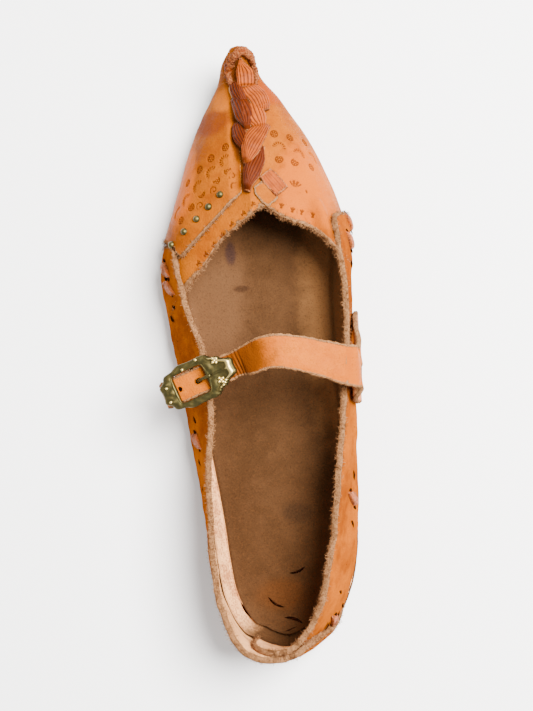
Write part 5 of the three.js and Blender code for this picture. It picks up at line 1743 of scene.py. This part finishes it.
def aged_brass():
    s = Shader("aged_brass", Metallic=1.0)
    mottle, fine = s.noise(2.2, 4), s.noise(0.35, 3)
    worn = s.rise(s.mark("worn") + (mottle - 0.5) * 0.5, 0.35, 0.95)
    dark = s.mix(paint(70, 64, 37), paint(88, 76, 42), s.rise(mottle, 0.4, 0.65))
    colour = s.mix(dark, paint(206, 182, 112), worn)
    roughness = s.rise(fine, 0.2, 0.8) * 0.14 + 0.3 + (1 - worn) * 0.12
    return s.finish(**{"Base Color": colour, "Roughness": roughness, "Normal": s.bump(fine + mottle, 0.03)})


def raw_fibre():
    s = Shader("raw_fibre", **{"Roughness": 0.9, "Specular IOR Level": 0.05})
    colour = s.mix(paint(140, 98, 64), paint(92, 56, 30), s.rise(s.noise(3, 2), 0.4, 0.6))
    return s.finish(**{"Base Color": colour})


def slit_dark():
    s = Shader("slit_shadow", **{"Roughness": 0.9, "Specular IOR Level": 0.0})
    colour = s.mix(paint(22, 9, 4), paint(48, 20, 9), s.rise(s.noise(1, 2), 0.4, 0.7))
    return s.finish(**{"Base Color": colour})


def plain_white():
    s = Shader("floor_white", **{"Base Color": paint(244, 242, 240), "Roughness": 0.9})
    return s.material


# The parts put together
def dress(piece, material, nodes=()):
    """The piece gets its material, rides on the shoe and stands for the solids named."""
    piece.data.materials.clear()
    piece.data.materials.append(material)
    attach(piece, "root")
    if nodes:
        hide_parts(*nodes)
    return piece


def make_shoe():
    tan, quarter, braid = vamp_leather(), quarter_leather(), braid_leather()
    strap, footbed, sole, brass = strap_leather(), footbed_leather(), sole_leather(), aged_brass()
    on_vamp_stamps = set_stamps(INNER_STAMPS, 0, INNER_TURN) + set_stamps(THROAT_STAMPS, 0, THROAT_TURN)
    on_overlay_stamps = set_stamps(OUTER_STAMPS, GAP + OVERLAY, OUTER_TURN)
    vamp, vamp_ground = make_vamp(dishes(on_vamp_stamps))
    overlay, overlay_ground = make_overlay(dishes(on_overlay_stamps))
    dress(vamp, tan, ["upper"])
    dress(overlay, tan, ["tooled_overlay"])
    outer = dress(make_outer_strip(), quarter, ["upper"])
    inner = dress(make_inner_strip(), quarter, ["upper"])
    dress(stamp_patches("vamp_stamps", on_vamp_stamps, vamp_ground, tan), tan, ())
    dress(stamp_patches("overlay_stamps", on_overlay_stamps, overlay_ground, tan), tan, ())
    hair = raw_fibre()
    for piece, density in ((vamp, 3.0), (outer, 2.4), (inner, 2.4), (overlay, 1.6)):
        dress(fibres(piece.name + "_fibres", piece, density, 1.1, hair, 401), hair, ())
    stitches, slits = make_lacing()
    dress(mark_all(join("thong_stitches", stitches), edge=0.5, tone=1), braid, ())
    dress(make_insole(), footbed, ["insole"])
    dress(make_outsole(), sole, ["outsole"])
    strap_pieces, strap_hole_shadows = make_strap()
    dress(join("strap_leather_piece", strap_pieces), strap, ["strap"])
    # The dark lenses of the slits and holes: painted shade
    dress(join("thong_slits", [*slits, *strap_hole_shadows]), slit_dark(), ())
    dress(make_tab(), strap, ["buckle_tab"])
    dress(join("buckle", make_buckle()), brass, ["buckle_frame"])
    dress(make_prong(), brass, ["buckle_prong"])
    for number, stud in enumerate(make_studs(), 1):
        dress(stud, brass, [f"stud_{number}"])
    dress(join("braid", make_braid()), braid, ["toe_braid"])
    side_tab = surface_strip(
        "side_tab_leather", SIDE_TAB_START, SIDE_TAB_END, 7, 1.6, 6, (0.85, 0.95), 1.6, 0.75, 95)
    dress(side_tab, braid, ["side_tab"])
    flap = surface_strip(
        "throat_flap", THROAT_FLAP_START, THROAT_FLAP_END, 7.5, 1.0, 0, (0.6, 0.8), 1.0, 0.4, 96)
    dress(mark_all(flap, pressed=0), tan, ())


def lamp(name, place, aim, size, power):
    light = bpy.data.lights.new(name, "AREA")
    light.shape, light.size, light.energy = "DISK", size, power
    holder = put(name, light)
    holder.location = place
    holder.rotation_euler = (Vector(aim) - Vector(place)).to_track_quat("-Z", "Y").to_euler()


AIM = Vector((0, 0, 0.02))
WINDOW_PLACE = (0.64, 0.31, 1.13)
WINDOW_SIZE = 0.8
WINDOW_POWER = 128
SKY_STRENGTH = 1.05
CAMERA_LENS = 70


def set_stage():
    bpy.ops.mesh.primitive_plane_add(size=6, location=(0, 0, 0))
    floor = bpy.context.object
    floor.name = "floor"
    floor.data.materials.append(plain_white())
    lamp("window", WINDOW_PLACE, (0, 0, 0), WINDOW_SIZE, WINDOW_POWER)
    world = bpy.data.worlds.new("studio")
    world.use_nodes = True
    world.node_tree.nodes["Background"].inputs["Color"].default_value = (1, 1, 1, 1)
    world.node_tree.nodes["Background"].inputs["Strength"].default_value = SKY_STRENGTH
    bpy.context.scene.world = world
    camera = bpy.data.cameras.new("camera")
    camera.lens = CAMERA_LENS
    holder = put("camera", camera)
    eye = Vector(PHOTO_EYE) * MM
    back = (eye - AIM).normalized()
    up = Vector((math.sin(PHOTO_ROLL), math.cos(PHOTO_ROLL), 0))
    right = up.cross(back).normalized()
    turn = Matrix((right, back.cross(right), back)).transposed().to_4x4()
    holder.matrix_world = Matrix.Translation(eye) @ turn
    bpy.context.scene.camera = holder


make_shoe()
set_stage()
